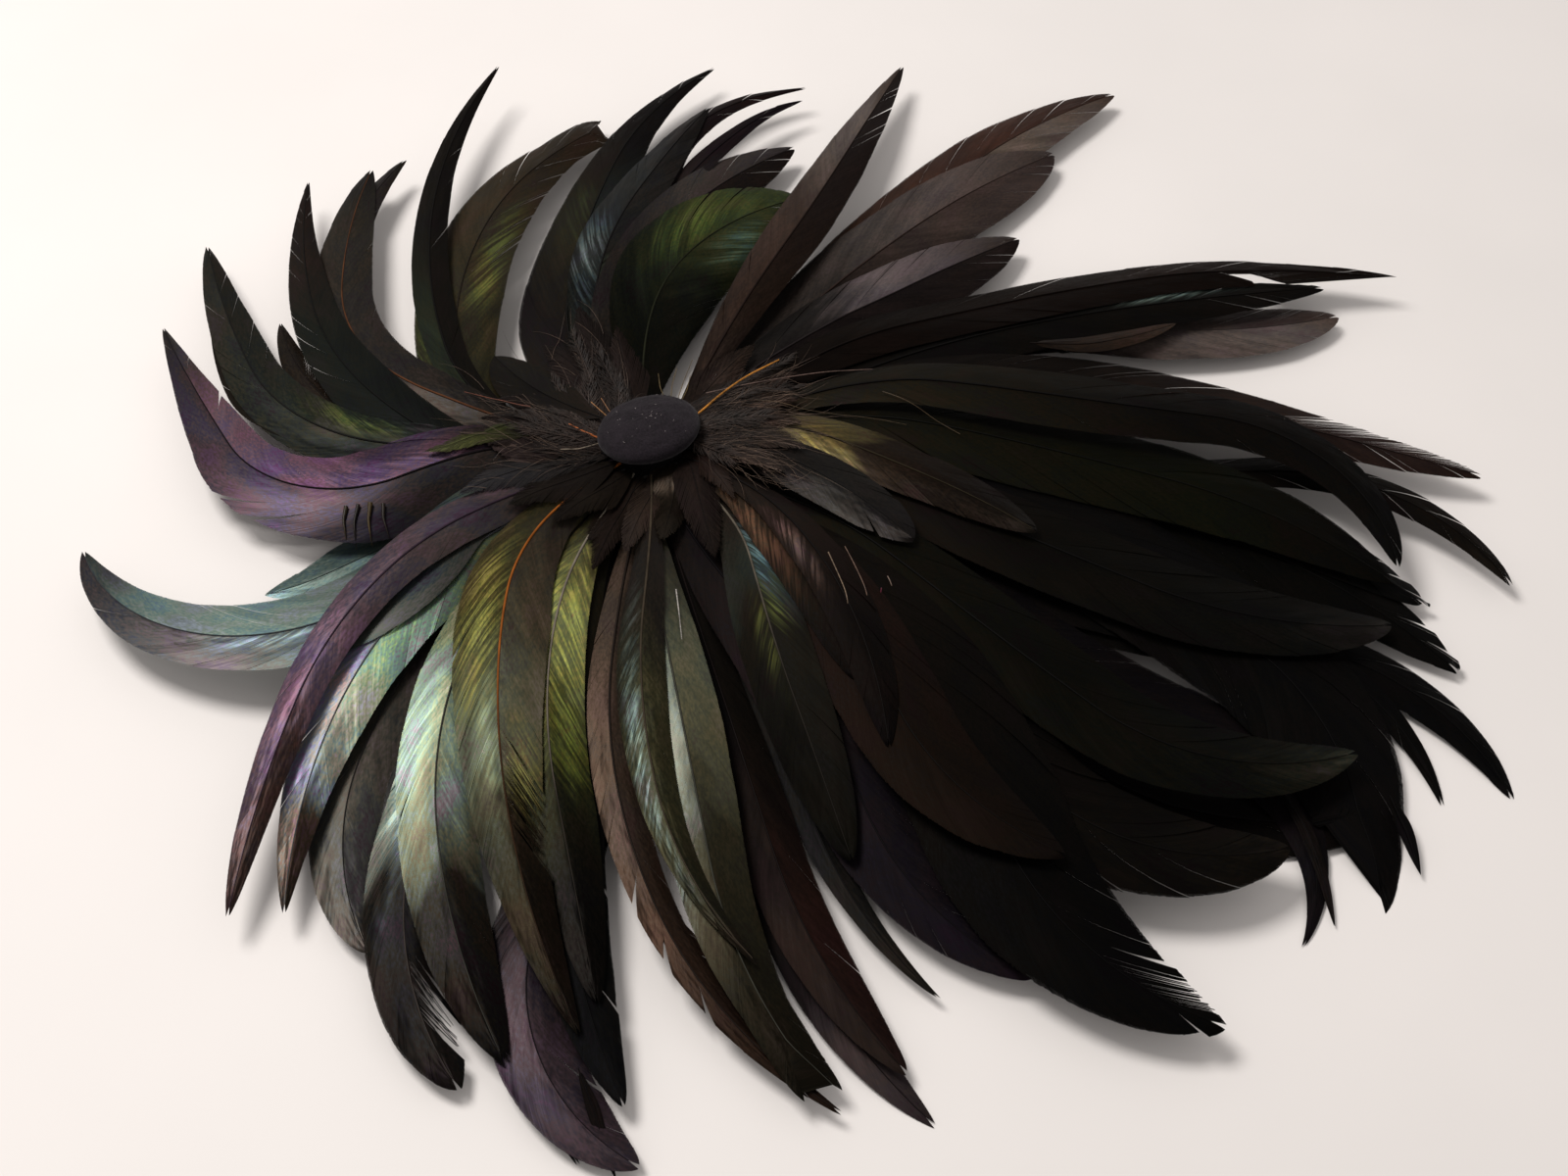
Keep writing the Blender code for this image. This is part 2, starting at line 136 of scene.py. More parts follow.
# name: ring radius, heading, bends, length, width, widest at, width kept at the end, bluntness, fork and
# colour name. These repeat the part's own design values.
PLAN = {
    "right_8": (7.0, 1, (-50, 50, -76), 217, 16, 0.5, 0.9, 3.0, None, "black"),
    "lower_right_1": (7.0, -10, (-30, 35, -80), 203, 17, 0.45, 0.45, 3.0, None, "black"),
    "lower_right_3": (7.0, -27, (-20, 30, -105), 203, 30, 0.45, 0.2, 3.0, None, "violet_black"),
    "lower_left_1": (7.0, -112, (15, 5, 35), 180, 8, 0.5, 1.0, 1.8, None, "black"),
    "bottom_1": (7.0, -68, (-15, 10, 30), 179, 11, 0.75, 1.0, 2.0, None, "brown"),
    "lower_left_5": (7.0, -135, (10, 20, 45), 150, 15, 0.65, 1.0, 4.0, None, "grey"),
    "upper_left_6": (7.0, 195, (-95, -25, -35), 168, 22, 0.5, 0.8, 3.0, (7, 3, -1), "olive"),
    "upper_right_1": (7.0, 50, (5, -5, -20), 184, 22, 0.5, 1.0, 2.8, None, "warm_brown"),
    "right_2": (7.0, 29, (0, -35, 25), 179, 19, 0.5, 1.0, 6.0, None, "grey"),
    "right_7": (7.5, 9.5, (-30, 0, -30), 193, 22, 0.5, 1.0, 3.2, None, "black"),
    "right_6": (7.5, 8, (-20, -5, -25), 182, 23, 0.5, 1.0, 3.4, None, "black"),
    "lower_right_2": (7.5, 0, (-30, -10, -70), 212, 33, 0.6, 0.9, 3.0, (20, 17, -1), "black"),
    "top_4": (7.5, 135, (-50, -10, -30), 158, 25, 0.25, 0.4, 2.6, None, "black"),
    "lower_right_10": (7.5, -69, (0, -5, 30), 154, 10, 0.5, 0.6, 2.2, None, "black"),
    "lower_left_2": (7.5, -107, (20, -20, 80), 186, 18, 0.75, 0.8, 3.6, None, "purple"),
    "bottom_2": (7.5, -79, (5, 0, 25), 167, 13, 0.7, 1.0, 2.4, None, "brown"),
    "upper_left_7": (7.5, -177, (-75, -20, -20), 175, 10, 0.4, 1.0, 1.5, None, "teal"),
    "upper_left_3": (7.5, -150, (-80, -30, -40), 168, 11, 0.5, 1.0, 2.4, None, "brown"),
    "top_3": (7.5, 126, (-50, -5, -60), 159, 13, 0.5, 0.55, 2.0, None, "violet_black"),
    "upper_right_2": (7.5, 51, (0, -5, -10), 149, 23, 0.5, 1.0, 4.5, None, "grey"),
    "right_3": (7.5, 24, (0, -10, -5), 174, 17, 0.5, 1.0, 2.4, None, "black"),
    "right_5": (8.0, 12, (-30, 25, -75), 207, 11, 0.5, 1.0, 3.6, None, "black"),
    "right_4": (8.0, 22, (-15, -25, -2), 198, 18, 0.5, 0.85, 3.4, None, "brown"),
    "lower_left_6": (8.0, -128, (20, 10, 45), 172, 17, 0.7, 0.95, 4.0, None, "teal"),
    "upper_left_4": (8.0, 176, (-25, -55, -15), 148, 16, 0.5, 1.0, 2.6, None, "violet_black"),
    "upper_left_2": (8.0, -170, (-15, -40, -30), 111, 11, 0.5, 1.0, 2.0, None, "green_black"),
    "top_5": (8.0, 123, (-35, -20, -5), 129, 17, 0.5, 0.7, 2.4, None, "teal"),
    "upper_right_3": (8.0, 50, (-15, 5, -5), 115, 21, 0.5, 1.0, 3.4, None, "grey"),
    "right_1": (8.0, 38, (-15, -10, -30), 197, 18, 0.5, 0.7, 2.2, (38, 28, -1), "brown"),
    "lower_left_3": (8.0, -113, (20, 10, 18), 168, 19, 0.6, 0.7, 2.8, None, "black"),
    "lower_left_9": (8.0, -141, (10, 25, 20), 146, 19, 0.45, 0.5, 3.0, None, "teal"),
    "lower_right_7": (8.0, -47, (-5, 0, 70), 181, 26, 0.5, 1.0, 4.0, None, "black"),
    "lower_right_9": (8.0, -72, (15, -15, 45), 160, 22, 0.5, 0.8, 3.0, None, "purple"),
    "bottom_3": (8.0, -97, (5, 25, 35), 181, 10, 0.45, 0.8, 2.2, None, "brown"),
    "upper_left_5": (8.5, 202, (-60, -35, -15), 159, 16, 0.45, 0.35, 3.0, None, "green_black"),
    "upper_left_1": (8.5, -168, (-20, -55, -10), 155, 15, 0.5, 0.75, 2.8, None, "grey"),
    "top_2": (8.5, 119, (-45, -15, -20), 124, 17, 0.5, 1.0, 3.4, None, "grey"),
    "top_1": (8.5, 100, (-20, -25, -25), 102, 25, 0.5, 1.0, 3.4, None, "olive"),
    "upper_right_4": (8.5, 64, (0, 5, 0), 156, 16, 0.5, 0.75, 2.2, None, "warm_brown"),
    "right_9": (8.5, 14, (-30, 0, -25), 173, 25, 0.5, 1.0, 2.6, None, "green_black"),
    "lower_right_5": (8.5, -10, (-20, 5, 35), 172, 23, 0.5, 1.0, 3.4, None, "green_black"),
    "lower_right_6": (8.5, -27, (-20, 5, 65), 180, 22, 0.5, 1.0, 3.4, None, "green_black"),
    "lower_right_8": (8.5, -44, (-10, -20, 55), 191, 32, 0.55, 1.0, 2.4, None, "black"),
    "lower_left_7": (8.5, -131, (20, 30, 20), 168, 17, 0.6, 0.85, 3.8, None, "teal"),
    "lower_left_4": (8.5, -117, (20, 20, 0), 147, 16, 0.5, 1.0, 2.4, None, "gold"),
    "bottom_4": (8.5, -89, (10, 0, 30), 169, 17, 0.5, 0.8, 2.6, (14, 3, -1), "olive"),
    "left_1": (9.5, -174, (20, -85, -5), 151, 25, 0.4, 0.35, 2.6, None, "purple"),
    "left_2": (9.5, -162, (45, -65, -65), 155, 23, 0.5, 0.7, 2.4, None, "teal"),
    "left_3": (9.5, -149, (15, 30, 10), 153, 12, 0.3, 0.6, 6.0, None, "purple"),
    "right_10": (9.5, 24, (-35, 5, -85), 190, 19, 0.5, 0.7, 3.4, None, "green_black"),
    "lower_right_4": (9.5, -42, (-20, -5, 40), 143, 23, 0.5, 1.0, 3.0, None, "brown"),
    "lower_left_8": (9.5, -138, (45, 15, 15), 161, 21, 0.4, 0.55, 2.6, None, "gold"),
    "bottom_5": (9.5, -87, (-5, 15, 30), 141, 11, 0.5, 0.6, 2.0, None, "teal"),
    "centre_5": (10.0, -48, (-30, 5, 0), 119, 15, 0.5, 1.0, 2.8, None, "olive"),
    "centre_4": (10.0, -40, (-20, -5, -10), 82, 11, 0.5, 1.0, 2.8, None, "copper"),
    "centre_3": (10.0, -36, (-20, -15, -15), 103, 12, 0.5, 1.0, 2.6, None, "copper"),
    "centre_1": (10.0, 10, (-40, 0, -10), 90, 14, 0.5, 1.0, 3.0, None, "gold"),
    "centre_2": (10.0, -10, (-25, -5, -10), 64, 14, 0.5, 1.0, 3.4, None, "grey"),
}

# Hues that a vane shimmers between, each of about the same lightness, and what brings them up to white.
HUES = ((0.0, 146, 118, 148), (0.25, 112, 136, 146), (0.5, 122, 136, 112), (0.75, 142, 132, 104),
        (1.0, 138, 122, 130))
HUE_GAIN = 4.3

# Vanes whose middle colours add up to less than this in screen values are duller by so much roughness.
DARK_VANES = 150
DULLER = 0.24

# Soft vanes whose barbs end unevenly on both sides.
LOOSE = ((1, .15, 1.0, .12), (-1, .15, 1.0, .12))

ORANGE_SHAFT = ((0, 150, 84, 30), (.42, 146, 82, 32), (.6, 56, 37, 21), (1, 28, 21, 15))


def look(left, right=None, shaft=None, painted_highlights=(), offset=0.0, splits=(), frays=(), trims=(), play=0.35,
         streaks=1.0):
    """The looks of one feather, root to tip.

    left, right: colours of each vane as (share, red, green, blue) in screen values: the feather's own
    colours, and in the bright bands partway along some vanes partly a painted highlight of the lamp's satin
    sheen. Without a right
    one, both are alike. shaft: one colour or such stops, and without it a darker tone of the vanes.
    glints: painted highlights, bright spots of painted sheen as (side, share, spread, share across, spread
    across, colour, strength). A side of 0 is both sides.
    offset: how far off the middle the shaft runs.
    splits: gaps in a vane as (side, share, gap, depth).
    frays, trims: stretches as (side, from share, to share, value), where barbs hang loose or are cut short.
    play: how much the vane's hue shimmers. streaks: how strong the streaks along its barbs are.
    """
    right = right or left
    if shaft is None:
        middles = left[len(left) // 2][1:], right[len(right) // 2][1:]
        shaft = tuple(0.32 * (one + other) for one, other in zip(*middles))
    return {"left": left, "right": right, "shaft": shaft, "painted_highlights": painted_highlights, "offset": offset,
            "splits": splits, "frays": frays, "trims": trims, "play": play, "streaks": streaks}


# Looks of each feather. The vane colours are the feathers' own, but the bright bands partway along some
# vanes, such as the teal-white ones of the lower-left feathers and the pale stripes of the upper-right ones,
# are partly painted highlight of the lamp's satin sheen, and every glint is a painted highlight.
LOOKS = {
    "left_1": look(
        ((0, 34, 28, 28), (.3, 30, 26, 29), (.5, 60, 48, 61), (.7, 56, 45, 56), (.85, 47, 38, 45),
         (1, 34, 29, 32)),
        ((0, 36, 30, 30), (.3, 56, 40, 56), (.45, 92, 68, 92), (.6, 94, 70, 92), (.75, 96, 74, 92),
         (.9, 54, 46, 50), (1, 36, 30, 32)), shaft=(20, 15, 18), offset=-0.1,
        splits=((1, .38, 3.0, .5), (1, .44, 2.5, .45), (-1, .72, 2.0, .5)), play=.6,
        painted_highlights=((-1, .45, .14, .3, .3, (128, 96, 134), .5), (-1, .62, .08, .4, .3, (100, 84, 106), .2))),
    "left_2": look(
        ((0, 40, 36, 36), (.35, 50, 51, 53), (.5, 60, 64, 66), (.65, 63, 60, 66), (.8, 56, 53, 59),
         (1, 46, 40, 46)),
        ((0, 42, 40, 38), (.35, 67, 76, 76), (.5, 99, 114, 117), (.65, 119, 137, 140), (.8, 99, 114, 119),
         (.92, 62, 68, 72), (1, 42, 42, 44)),
        painted_highlights=((-1, .62, .14, .6, .35, (118, 132, 138), .3), (1, .6, .12, .2, .2, (130, 144, 150), .6)),
        offset=0.1, play=.5),
    "left_3": look(
        ((0, 38, 32, 32), (.3, 62, 54, 58), (.5, 62, 50, 60), (.62, 72, 56, 70), (.72, 42, 29, 29),
         (1, 28, 21, 21)),
        ((0, 40, 34, 34), (.3, 72, 60, 70), (.5, 76, 63, 78), (.65, 90, 69, 89), (.8, 72, 56, 64),
         (.92, 58, 45, 48), (1, 40, 31, 33)), painted_highlights=((-1, .6, .12, .5, .4, (120, 92, 120), .25),), play=.45),
    "upper_left_1": look(
        ((0, 14, 13, 12), (.35, 20, 20, 19), (.6, 37, 36, 33), (.85, 39, 37, 35), (1, 31, 27, 24)),
        ((0, 14, 13, 12), (.3, 18, 19, 17), (.45, 31, 33, 29), (.6, 32, 32, 30), (.8, 27, 26, 24),
         (1, 29, 25, 22)), painted_highlights=((-1, .42, .07, .6, .3, (96, 106, 62), .5),), play=.5),
    "upper_left_2": look(
        ((0, 20, 16, 14), (.5, 38, 30, 26), (1, 27, 22, 19)),
        painted_highlights=((-1, .5, .2, .9, .2, (110, 92, 50), .7),), frays=((-1, .45, .8, .2),)),
    "upper_left_3": look(
        ((0, 23, 20, 18), (.4, 34, 31, 27), (.7, 47, 40, 40), (1, 32, 27, 24)),
        painted_highlights=((-1, .62, .1, .95, .2, (120, 100, 56), .6),)),
    "upper_left_4": look(
        ((0, 22, 19, 18), (.5, 40, 35, 34), (.8, 41, 36, 32), (1, 25, 22, 20)), shaft=(84, 52, 32)),
    "upper_left_5": look(
        ((0, 16, 15, 13), (.4, 18, 19, 18), (.6, 21, 22, 20), (.8, 29, 22, 20), (1, 22, 15, 14))),
    "upper_left_6": look(
        ((0, 23, 20, 16), (.3, 34, 31, 22), (.5, 45, 39, 28), (.7, 49, 40, 30), (.85, 43, 34, 25),
         (1, 32, 23, 18)),
        ((0, 23, 20, 16), (.3, 40, 36, 25), (.5, 45, 38, 29), (.7, 41, 33, 26), (1, 31, 22, 16)), play=.4,
        streaks=2.2, splits=((-1, .5, 1.2, .6), (-1, .58, 1.0, .5), (-1, .66, 1.2, .55), (-1, .74, 1.0, .5)),
        painted_highlights=((-1, .55, .1, .55, .3, (108, 112, 60), .7), (1, .35, .08, .5, .5, (84, 92, 50), .5))),
    "upper_left_7": look(
        ((0, 18, 16, 14), (.35, 29, 32, 25), (.55, 18, 16, 14), (.75, 16, 12, 9), (1, 16, 11, 10)),
        ((0, 16, 14, 13), (.5, 15, 12, 10), (1, 13, 9, 8))),
    "top_4": look(
        ((0, 23, 20, 18), (.25, 18, 14, 14), (.45, 31, 28, 21), (.62, 22, 18, 15), (.78, 14, 10, 10),
         (1, 14, 10, 11)),
        ((0, 23, 20, 18), (.35, 25, 25, 23), (.5, 29, 31, 29), (.7, 13, 10, 10), (1, 13, 9, 10)),
        painted_highlights=((1, .5, .06, .4, .3, (76, 84, 50), .25),)),
    "top_5": look(
        ((0, 12, 11, 10), (.3, 14, 14, 13), (.5, 22, 22, 23), (.7, 32, 32, 33), (.88, 27, 23, 24),
         (1, 15, 13, 13)),
        ((0, 12, 11, 10), (.4, 16, 15, 14), (.6, 28, 26, 26), (.8, 23, 20, 20), (1, 14, 11, 11)),
        painted_highlights=((1, .42, .09, .5, .4, (120, 136, 144), .7), (-1, .38, .06, .4, .4, (90, 96, 84), .4)),
        play=.4, streaks=2.2),
    "top_3": look(((0, 19, 16, 14), (.4, 24, 21, 20), (.7, 22, 15, 16), (1, 25, 15, 15))),
    "top_2": look(
        ((0, 22, 19, 17), (.4, 31, 26, 25), (.7, 54, 48, 48), (.9, 49, 41, 41), (1, 31, 25, 24)),
        ((0, 19, 16, 14), (.5, 23, 18, 17), (.8, 25, 19, 18), (1, 22, 16, 15))),
    "top_1": look(
        ((0, 15, 14, 12), (.3, 16, 16, 12), (.5, 29, 31, 21), (.7, 51, 55, 33), (.9, 57, 61, 38),
         (1, 41, 43, 25)),
        ((0, 15, 14, 12), (.4, 16, 16, 12), (.6, 42, 44, 28), (.85, 53, 55, 36), (1, 34, 34, 22)), play=.5,
        streaks=2.6, splits=((1, .55, 1.6, .6), (1, .68, 1.4, .6)),
        painted_highlights=((1, .66, .14, .5, .4, (92, 108, 56), .6), (-1, .7, .1, .6, .3, (100, 122, 112), .6))),
    "upper_right_4": look(
        ((0, 27, 20, 16), (.3, 45, 33, 28), (.5, 54, 41, 35), (.66, 77, 67, 63), (.8, 94, 83, 79),
         (.9, 68, 56, 50), (1, 43, 32, 28)),
        ((0, 22, 16, 14), (.3, 27, 19, 15), (.6, 22, 14, 12), (.85, 23, 15, 13), (1, 27, 19, 16)),
        shaft=(30, 20, 16), play=.15),
    "upper_right_1": look(
        ((0, 31, 23, 22), (.4, 50, 34, 27), (.6, 52, 31, 22), (.8, 54, 32, 24), (1, 41, 27, 22)),
        ((0, 27, 22, 18), (.35, 47, 36, 31), (.55, 59, 47, 40), (.7, 77, 66, 59), (.85, 94, 82, 76),
         (1, 65, 52, 47)), shaft=(52, 36, 29), play=.15, streaks=2.2),
    "upper_right_2": look(
        ((0, 23, 18, 17), (.35, 37, 32, 30), (.55, 64, 57, 55), (.75, 81, 70, 68), (.9, 68, 58, 55),
         (1, 50, 40, 38)),
        ((0, 20, 15, 13), (.4, 28, 22, 20), (.7, 58, 48, 45), (.9, 61, 50, 48), (1, 43, 34, 32)),
        shaft=(44, 33, 29), play=.15, streaks=1.8),
    "upper_right_3": look(
        ((0, 14, 12, 11), (.4, 24, 21, 20), (.6, 88, 79, 81), (.75, 81, 72, 74), (.9, 56, 47, 45),
         (1, 38, 30, 27)), ((0, 17, 13, 12), (.5, 19, 14, 14), (.8, 27, 21, 20), (1, 29, 22, 21)), play=.15,
        streaks=2.2, splits=((1, .5, .7, .6), (1, .6, .8, .7))),
    "right_1": look(
        ((0, 12, 9, 7), (.4, 15, 9, 6), (.7, 20, 10, 6), (1, 14, 8, 6)),
        ((0, 10, 7, 6), (.5, 13, 7, 5), (1, 12, 7, 5)), play=.15, streaks=1.6, trims=((-1, .76, .99, .3),)),
    "right_3": look(
        ((0, 11, 9, 8), (.5, 10, 8, 7), (1, 13, 10, 9)),
        painted_highlights=((1, .72, .07, .6, .3, (150, 170, 170), .8),)),
    "right_2": look(
        ((0, 26, 22, 20), (.45, 28, 22, 21), (.6, 90, 81, 79), (.72, 83, 74, 72), (.85, 61, 50, 48),
         (1, 54, 43, 40)),
        ((0, 23, 18, 17), (.5, 29, 22, 21), (.7, 72, 63, 61), (.88, 92, 82, 79), (1, 76, 65, 61)), play=.15,
        streaks=1.8),
    "right_4": look(
        ((0, 14, 11, 10), (.5, 17, 13, 11), (.75, 36, 26, 23), (.9, 47, 35, 32), (1, 40, 29, 26)),
        ((0, 13, 10, 9), (.5, 15, 11, 9), (.75, 27, 18, 15), (.9, 34, 24, 22), (1, 31, 22, 19)),
        frays=((1, .72, .97, .12),),
        splits=((1, .74, 2.0, .6), (1, .8, 2.2, .5), (1, .86, 2.0, .5), (1, .91, 1.6, .5)), streaks=2.0,
        play=.2),
    "right_5": look(((0, 10, 8, 6), (.7, 11, 8, 6), (1, 18, 14, 12))),
    "right_6": look(
        ((0, 9, 7, 6), (.7, 7, 6, 5), (1, 8, 7, 7)), splits=((1, .9, 3.0, .5), (1, .95, 2.5, .6))),
    "right_7": look(
        ((0, 9, 7, 6), (.7, 7, 6, 5), (1, 8, 7, 7)), splits=((1, .88, 2.5, .5), (1, .93, 3.0, .6))),
    "right_8": look(((0, 9, 7, 6), (.7, 7, 6, 6), (1, 8, 7, 8))),
    "right_9": look(
        ((0, 20, 17, 14), (.4, 16, 14, 9), (.7, 13, 13, 7), (.85, 10, 8, 6), (1, 7, 6, 5)), play=.5),
    "right_10": look(((0, 27, 22, 18), (.3, 23, 19, 14), (.6, 12, 9, 8), (1, 7, 6, 6)), play=.5),
    "lower_right_1": look(((0, 9, 7, 7), (1, 8, 7, 7))),
    "lower_right_2": look(((0, 9, 7, 7), (.7, 8, 7, 7), (1, 11, 9, 10))),
    "lower_right_3": look(((0, 9, 7, 7), (.7, 12, 9, 11), (1, 16, 13, 16))),
    "lower_right_4": look(((0, 31, 23, 20), (.4, 22, 14, 12), (.7, 17, 11, 8), (1, 14, 9, 7)), play=.3),
    "lower_right_5": look(
        ((0, 22, 16, 14), (.5, 10, 8, 6), (.85, 11, 10, 9), (.95, 22, 20, 20), (1, 32, 31, 31))),
    "lower_right_6": look(
        ((0, 23, 18, 15), (.3, 14, 12, 8), (.6, 8, 7, 5), (.85, 13, 12, 10), (.95, 27, 26, 23),
         (1, 41, 41, 38)), play=.5),
    "lower_right_7": look(((0, 12, 9, 8), (.7, 8, 6, 5), (.93, 14, 11, 9), (1, 27, 21, 17))),
    "lower_right_8": look(
        ((0, 22, 16, 14), (.3, 13, 10, 8), (.7, 6, 5, 5), (1, 7, 6, 6)), frays=((1, .86, .95, .12),),
        splits=((1, .82, 3.0, .5), (-1, .93, 2.0, .5))),
    "lower_right_9": look(((0, 20, 16, 15), (.4, 20, 15, 17), (.7, 18, 14, 18), (1, 20, 15, 20))),
    "lower_right_10": look(((0, 16, 14, 13), (.8, 23, 21, 21), (1, 29, 25, 23))),
    "bottom_1": look(
        ((0, 11, 8, 8), (.5, 14, 11, 10), (.75, 18, 14, 14), (.9, 50, 42, 43), (1, 34, 27, 27)), play=.2),
    "bottom_2": look(
        ((0, 8, 7, 6), (.5, 11, 8, 6), (.8, 27, 15, 13), (1, 24, 15, 14)),
        ((0, 9, 8, 7), (.5, 9, 7, 7), (.8, 31, 23, 21), (1, 28, 22, 20)), play=.2),
    "bottom_3": look(
        ((0, 54, 44, 39), (.2, 64, 53, 46), (.36, 67, 55, 48), (.5, 50, 40, 34), (.65, 37, 27, 22),
         (.8, 32, 22, 17), (1, 27, 18, 14)), play=.2,
        splits=((-1, .62, 3.0, .7), (-1, .7, 3.5, .7), (-1, .78, 3.0, .7))),
    "bottom_4": look(
        ((0, 35, 31, 26), (.2, 50, 47, 38), (.33, 75, 76, 64), (.45, 79, 76, 60), (.6, 38, 35, 26),
         (.8, 23, 20, 14), (1, 16, 13, 10)),
        ((0, 35, 31, 26), (.2, 50, 47, 38), (.33, 81, 84, 71), (.45, 100, 103, 97), (.6, 40, 38, 30),
         (.8, 23, 20, 14), (1, 16, 13, 10)), painted_highlights=((-1, .47, .12, .9, .25, (160, 172, 168), .8),),
        play=.25),
    "bottom_5": look(
        ((0, 30, 24, 22), (.3, 27, 23, 20), (.5, 39, 37, 25), (.7, 35, 33, 22), (.85, 24, 22, 15),
         (1, 20, 16, 13)), painted_highlights=((-1, .55, .16, .5, .3, (126, 144, 140), .6),), shaft=(60, 52, 42),
        play=.25),
    "lower_left_1": look(((0, 10, 8, 8), (1, 11, 9, 9))),
    "lower_left_2": look(
        ((0, 16, 13, 12), (.6, 12, 10, 11), (.75, 35, 28, 33), (.9, 43, 35, 42), (1, 45, 37, 43)),
        splits=((1, .8, 2.0, .7),)),
    "lower_left_3": look(
        ((0, 22, 19, 12), (.25, 19, 16, 10), (.45, 8, 7, 7), (.8, 10, 9, 9), (1, 12, 11, 13)),
        splits=((1, .6, 1.5, .4), (1, .8, 1.5, .5))),
    "lower_left_4": look(
        ((0, 39, 33, 25), (.15, 54, 48, 34), (.25, 82, 80, 55), (.38, 99, 99, 71), (.47, 48, 46, 28),
         (.62, 20, 19, 12), (.8, 9, 7, 6), (1, 6, 5, 5)),
        shaft=((0, 128, 120, 108), (.5, 112, 104, 94), (.68, 46, 41, 35), (1, 22, 19, 17)), play=.4,
        streaks=2.4,
        painted_highlights=((0, .36, .14, .5, .5, (178, 176, 96), .9), (1, .55, .06, .5, .4, (120, 126, 54), .7))),
    "lower_left_5": look(
        ((0, 20, 17, 16), (.5, 39, 36, 35), (.7, 55, 52, 50), (.85, 52, 49, 48), (1, 45, 41, 41)),
        splits=((1, .5, 2.0, .5),)),
    "lower_left_6": look(
        ((0, 40, 34, 30), (.25, 56, 55, 48), (.42, 115, 124, 122), (.54, 149, 161, 163), (.63, 62, 63, 65),
         (.72, 19, 16, 16), (.85, 12, 9, 10), (1, 16, 14, 15)),
        painted_highlights=((0, .52, .09, .5, .5, (166, 178, 182), .7),), play=.6, shaft=(60, 54, 50),
        frays=((1, .82, .9, .7),), splits=((1, .5, 1.8, .6), (1, .8, 4.0, .7))),
    "lower_left_7": look(
        ((0, 40, 34, 28), (.25, 62, 60, 47), (.4, 100, 106, 92), (.52, 122, 128, 117), (.62, 85, 84, 76),
         (.74, 24, 20, 18), (.86, 15, 11, 10), (1, 12, 9, 9)),
        painted_highlights=((0, .5, .1, .5, .5, (164, 176, 162), .7),), play=.6, splits=((-1, .55, 1.6, .5),),
        frays=((1, .96, 1.0, .15),)),
    "lower_left_8": look(
        ((0, 39, 32, 27), (.2, 47, 40, 34), (.35, 63, 56, 46), (.5, 83, 81, 68), (.58, 72, 67, 48),
         (.66, 23, 17, 12), (.8, 14, 10, 7), (1, 17, 12, 9)),
        ((0, 39, 32, 25), (.18, 48, 43, 29), (.32, 48, 42, 26), (.45, 48, 48, 35), (.55, 59, 60, 49),
         (.65, 26, 25, 19), (.8, 23, 19, 13), (1, 16, 12, 8)), shaft=ORANGE_SHAFT, play=.35, streaks=1.8,
        frays=((1, .55, .7, .45),), splits=((-1, .3, 1.5, .6), (-1, .4, 1.2, .5)),
        painted_highlights=((-1, .34, .1, .5, .4, (140, 136, 72), .8), (1, .6, .05, .6, .3, (150, 140, 80), .8),
                (-1, .54, .09, .3, .3, (120, 128, 104), .35))),
    "lower_left_9": look(
        ((0, 40, 36, 32), (.3, 72, 72, 59), (.45, 103, 116, 100), (.58, 120, 132, 125), (.7, 115, 115, 122),
         (.82, 40, 33, 33), (1, 22, 17, 17)),
        ((0, 40, 36, 34), (.3, 72, 72, 67), (.45, 96, 103, 103), (.6, 130, 124, 139), (.72, 118, 109, 122),
         (.85, 84, 74, 79), (1, 40, 31, 33)),
        painted_highlights=((1, .48, .08, .4, .3, (146, 164, 110), .8), (-1, .58, .06, .3, .3, (160, 126, 160), .9),
                (1, .62, .07, .5, .4, (130, 150, 156), .7)), play=.8),
    "slip_upper_left": look(((0, 20, 16, 14), (.6, 23, 20, 17), (1, 18, 14, 13))),
    "slip_top": look(((0, 36, 31, 31), (.4, 31, 25, 26), (.6, 20, 13, 17), (1, 20, 12, 16))),
    "slip_flare": look(
        ((0, 27, 22, 21), (.5, 18, 15, 14), (1, 22, 19, 16)),
        ((0, 29, 24, 22), (.5, 25, 22, 20), (1, 27, 24, 22))),
    "slip_under": look(((0, 11, 8, 7), (1, 11, 8, 8))),
    "slip_right": look(((0, 27, 20, 17), (.6, 40, 30, 26), (1, 54, 43, 39))),
    "slip_lower_right": look(((0, 9, 7, 7), (1, 22, 18, 18))),
    "slip_bottom": look(((0, 32, 23, 19), (.6, 41, 31, 25), (1, 31, 22, 18))),
    "slip_low": look(((0, 14, 11, 11), (1, 20, 15, 16))),
    "slip_claw": look(((0, 9, 7, 7), (1, 14, 12, 13))),
    "slip_left": look(((0, 50, 54, 56), (.5, 74, 86, 88), (1, 88, 102, 104)), play=.4),
    "centre_1": look(
        ((0, 31, 24, 21), (.18, 34, 27, 22), (.25, 59, 50, 36), (.4, 63, 54, 36), (.46, 31, 23, 18),
         (.7, 22, 16, 13), (1, 16, 13, 11)), painted_highlights=((0, .32, .07, .4, .5, (112, 98, 56), .7),), play=.3),
    "centre_2": look(
        ((0, 14, 12, 11), (.3, 21, 17, 16), (.6, 28, 26, 25), (.85, 27, 24, 24), (1, 19, 16, 15)), play=.2,
        splits=((-1, .7, 2.0, .5), (1, .6, 1.5, .4))),
    "centre_3": look(
        ((0, 24, 19, 17), (.3, 29, 22, 19), (.5, 22, 16, 14), (.65, 14, 10, 9), (1, 8, 5, 5)),
        painted_highlights=((-1, .42, .08, .5, .3, (130, 104, 100), .5),), play=.3),
    "centre_4": look(
        ((0, 23, 19, 16), (.25, 39, 30, 25), (.5, 20, 16, 13), (.7, 14, 11, 9), (1, 8, 5, 5)),
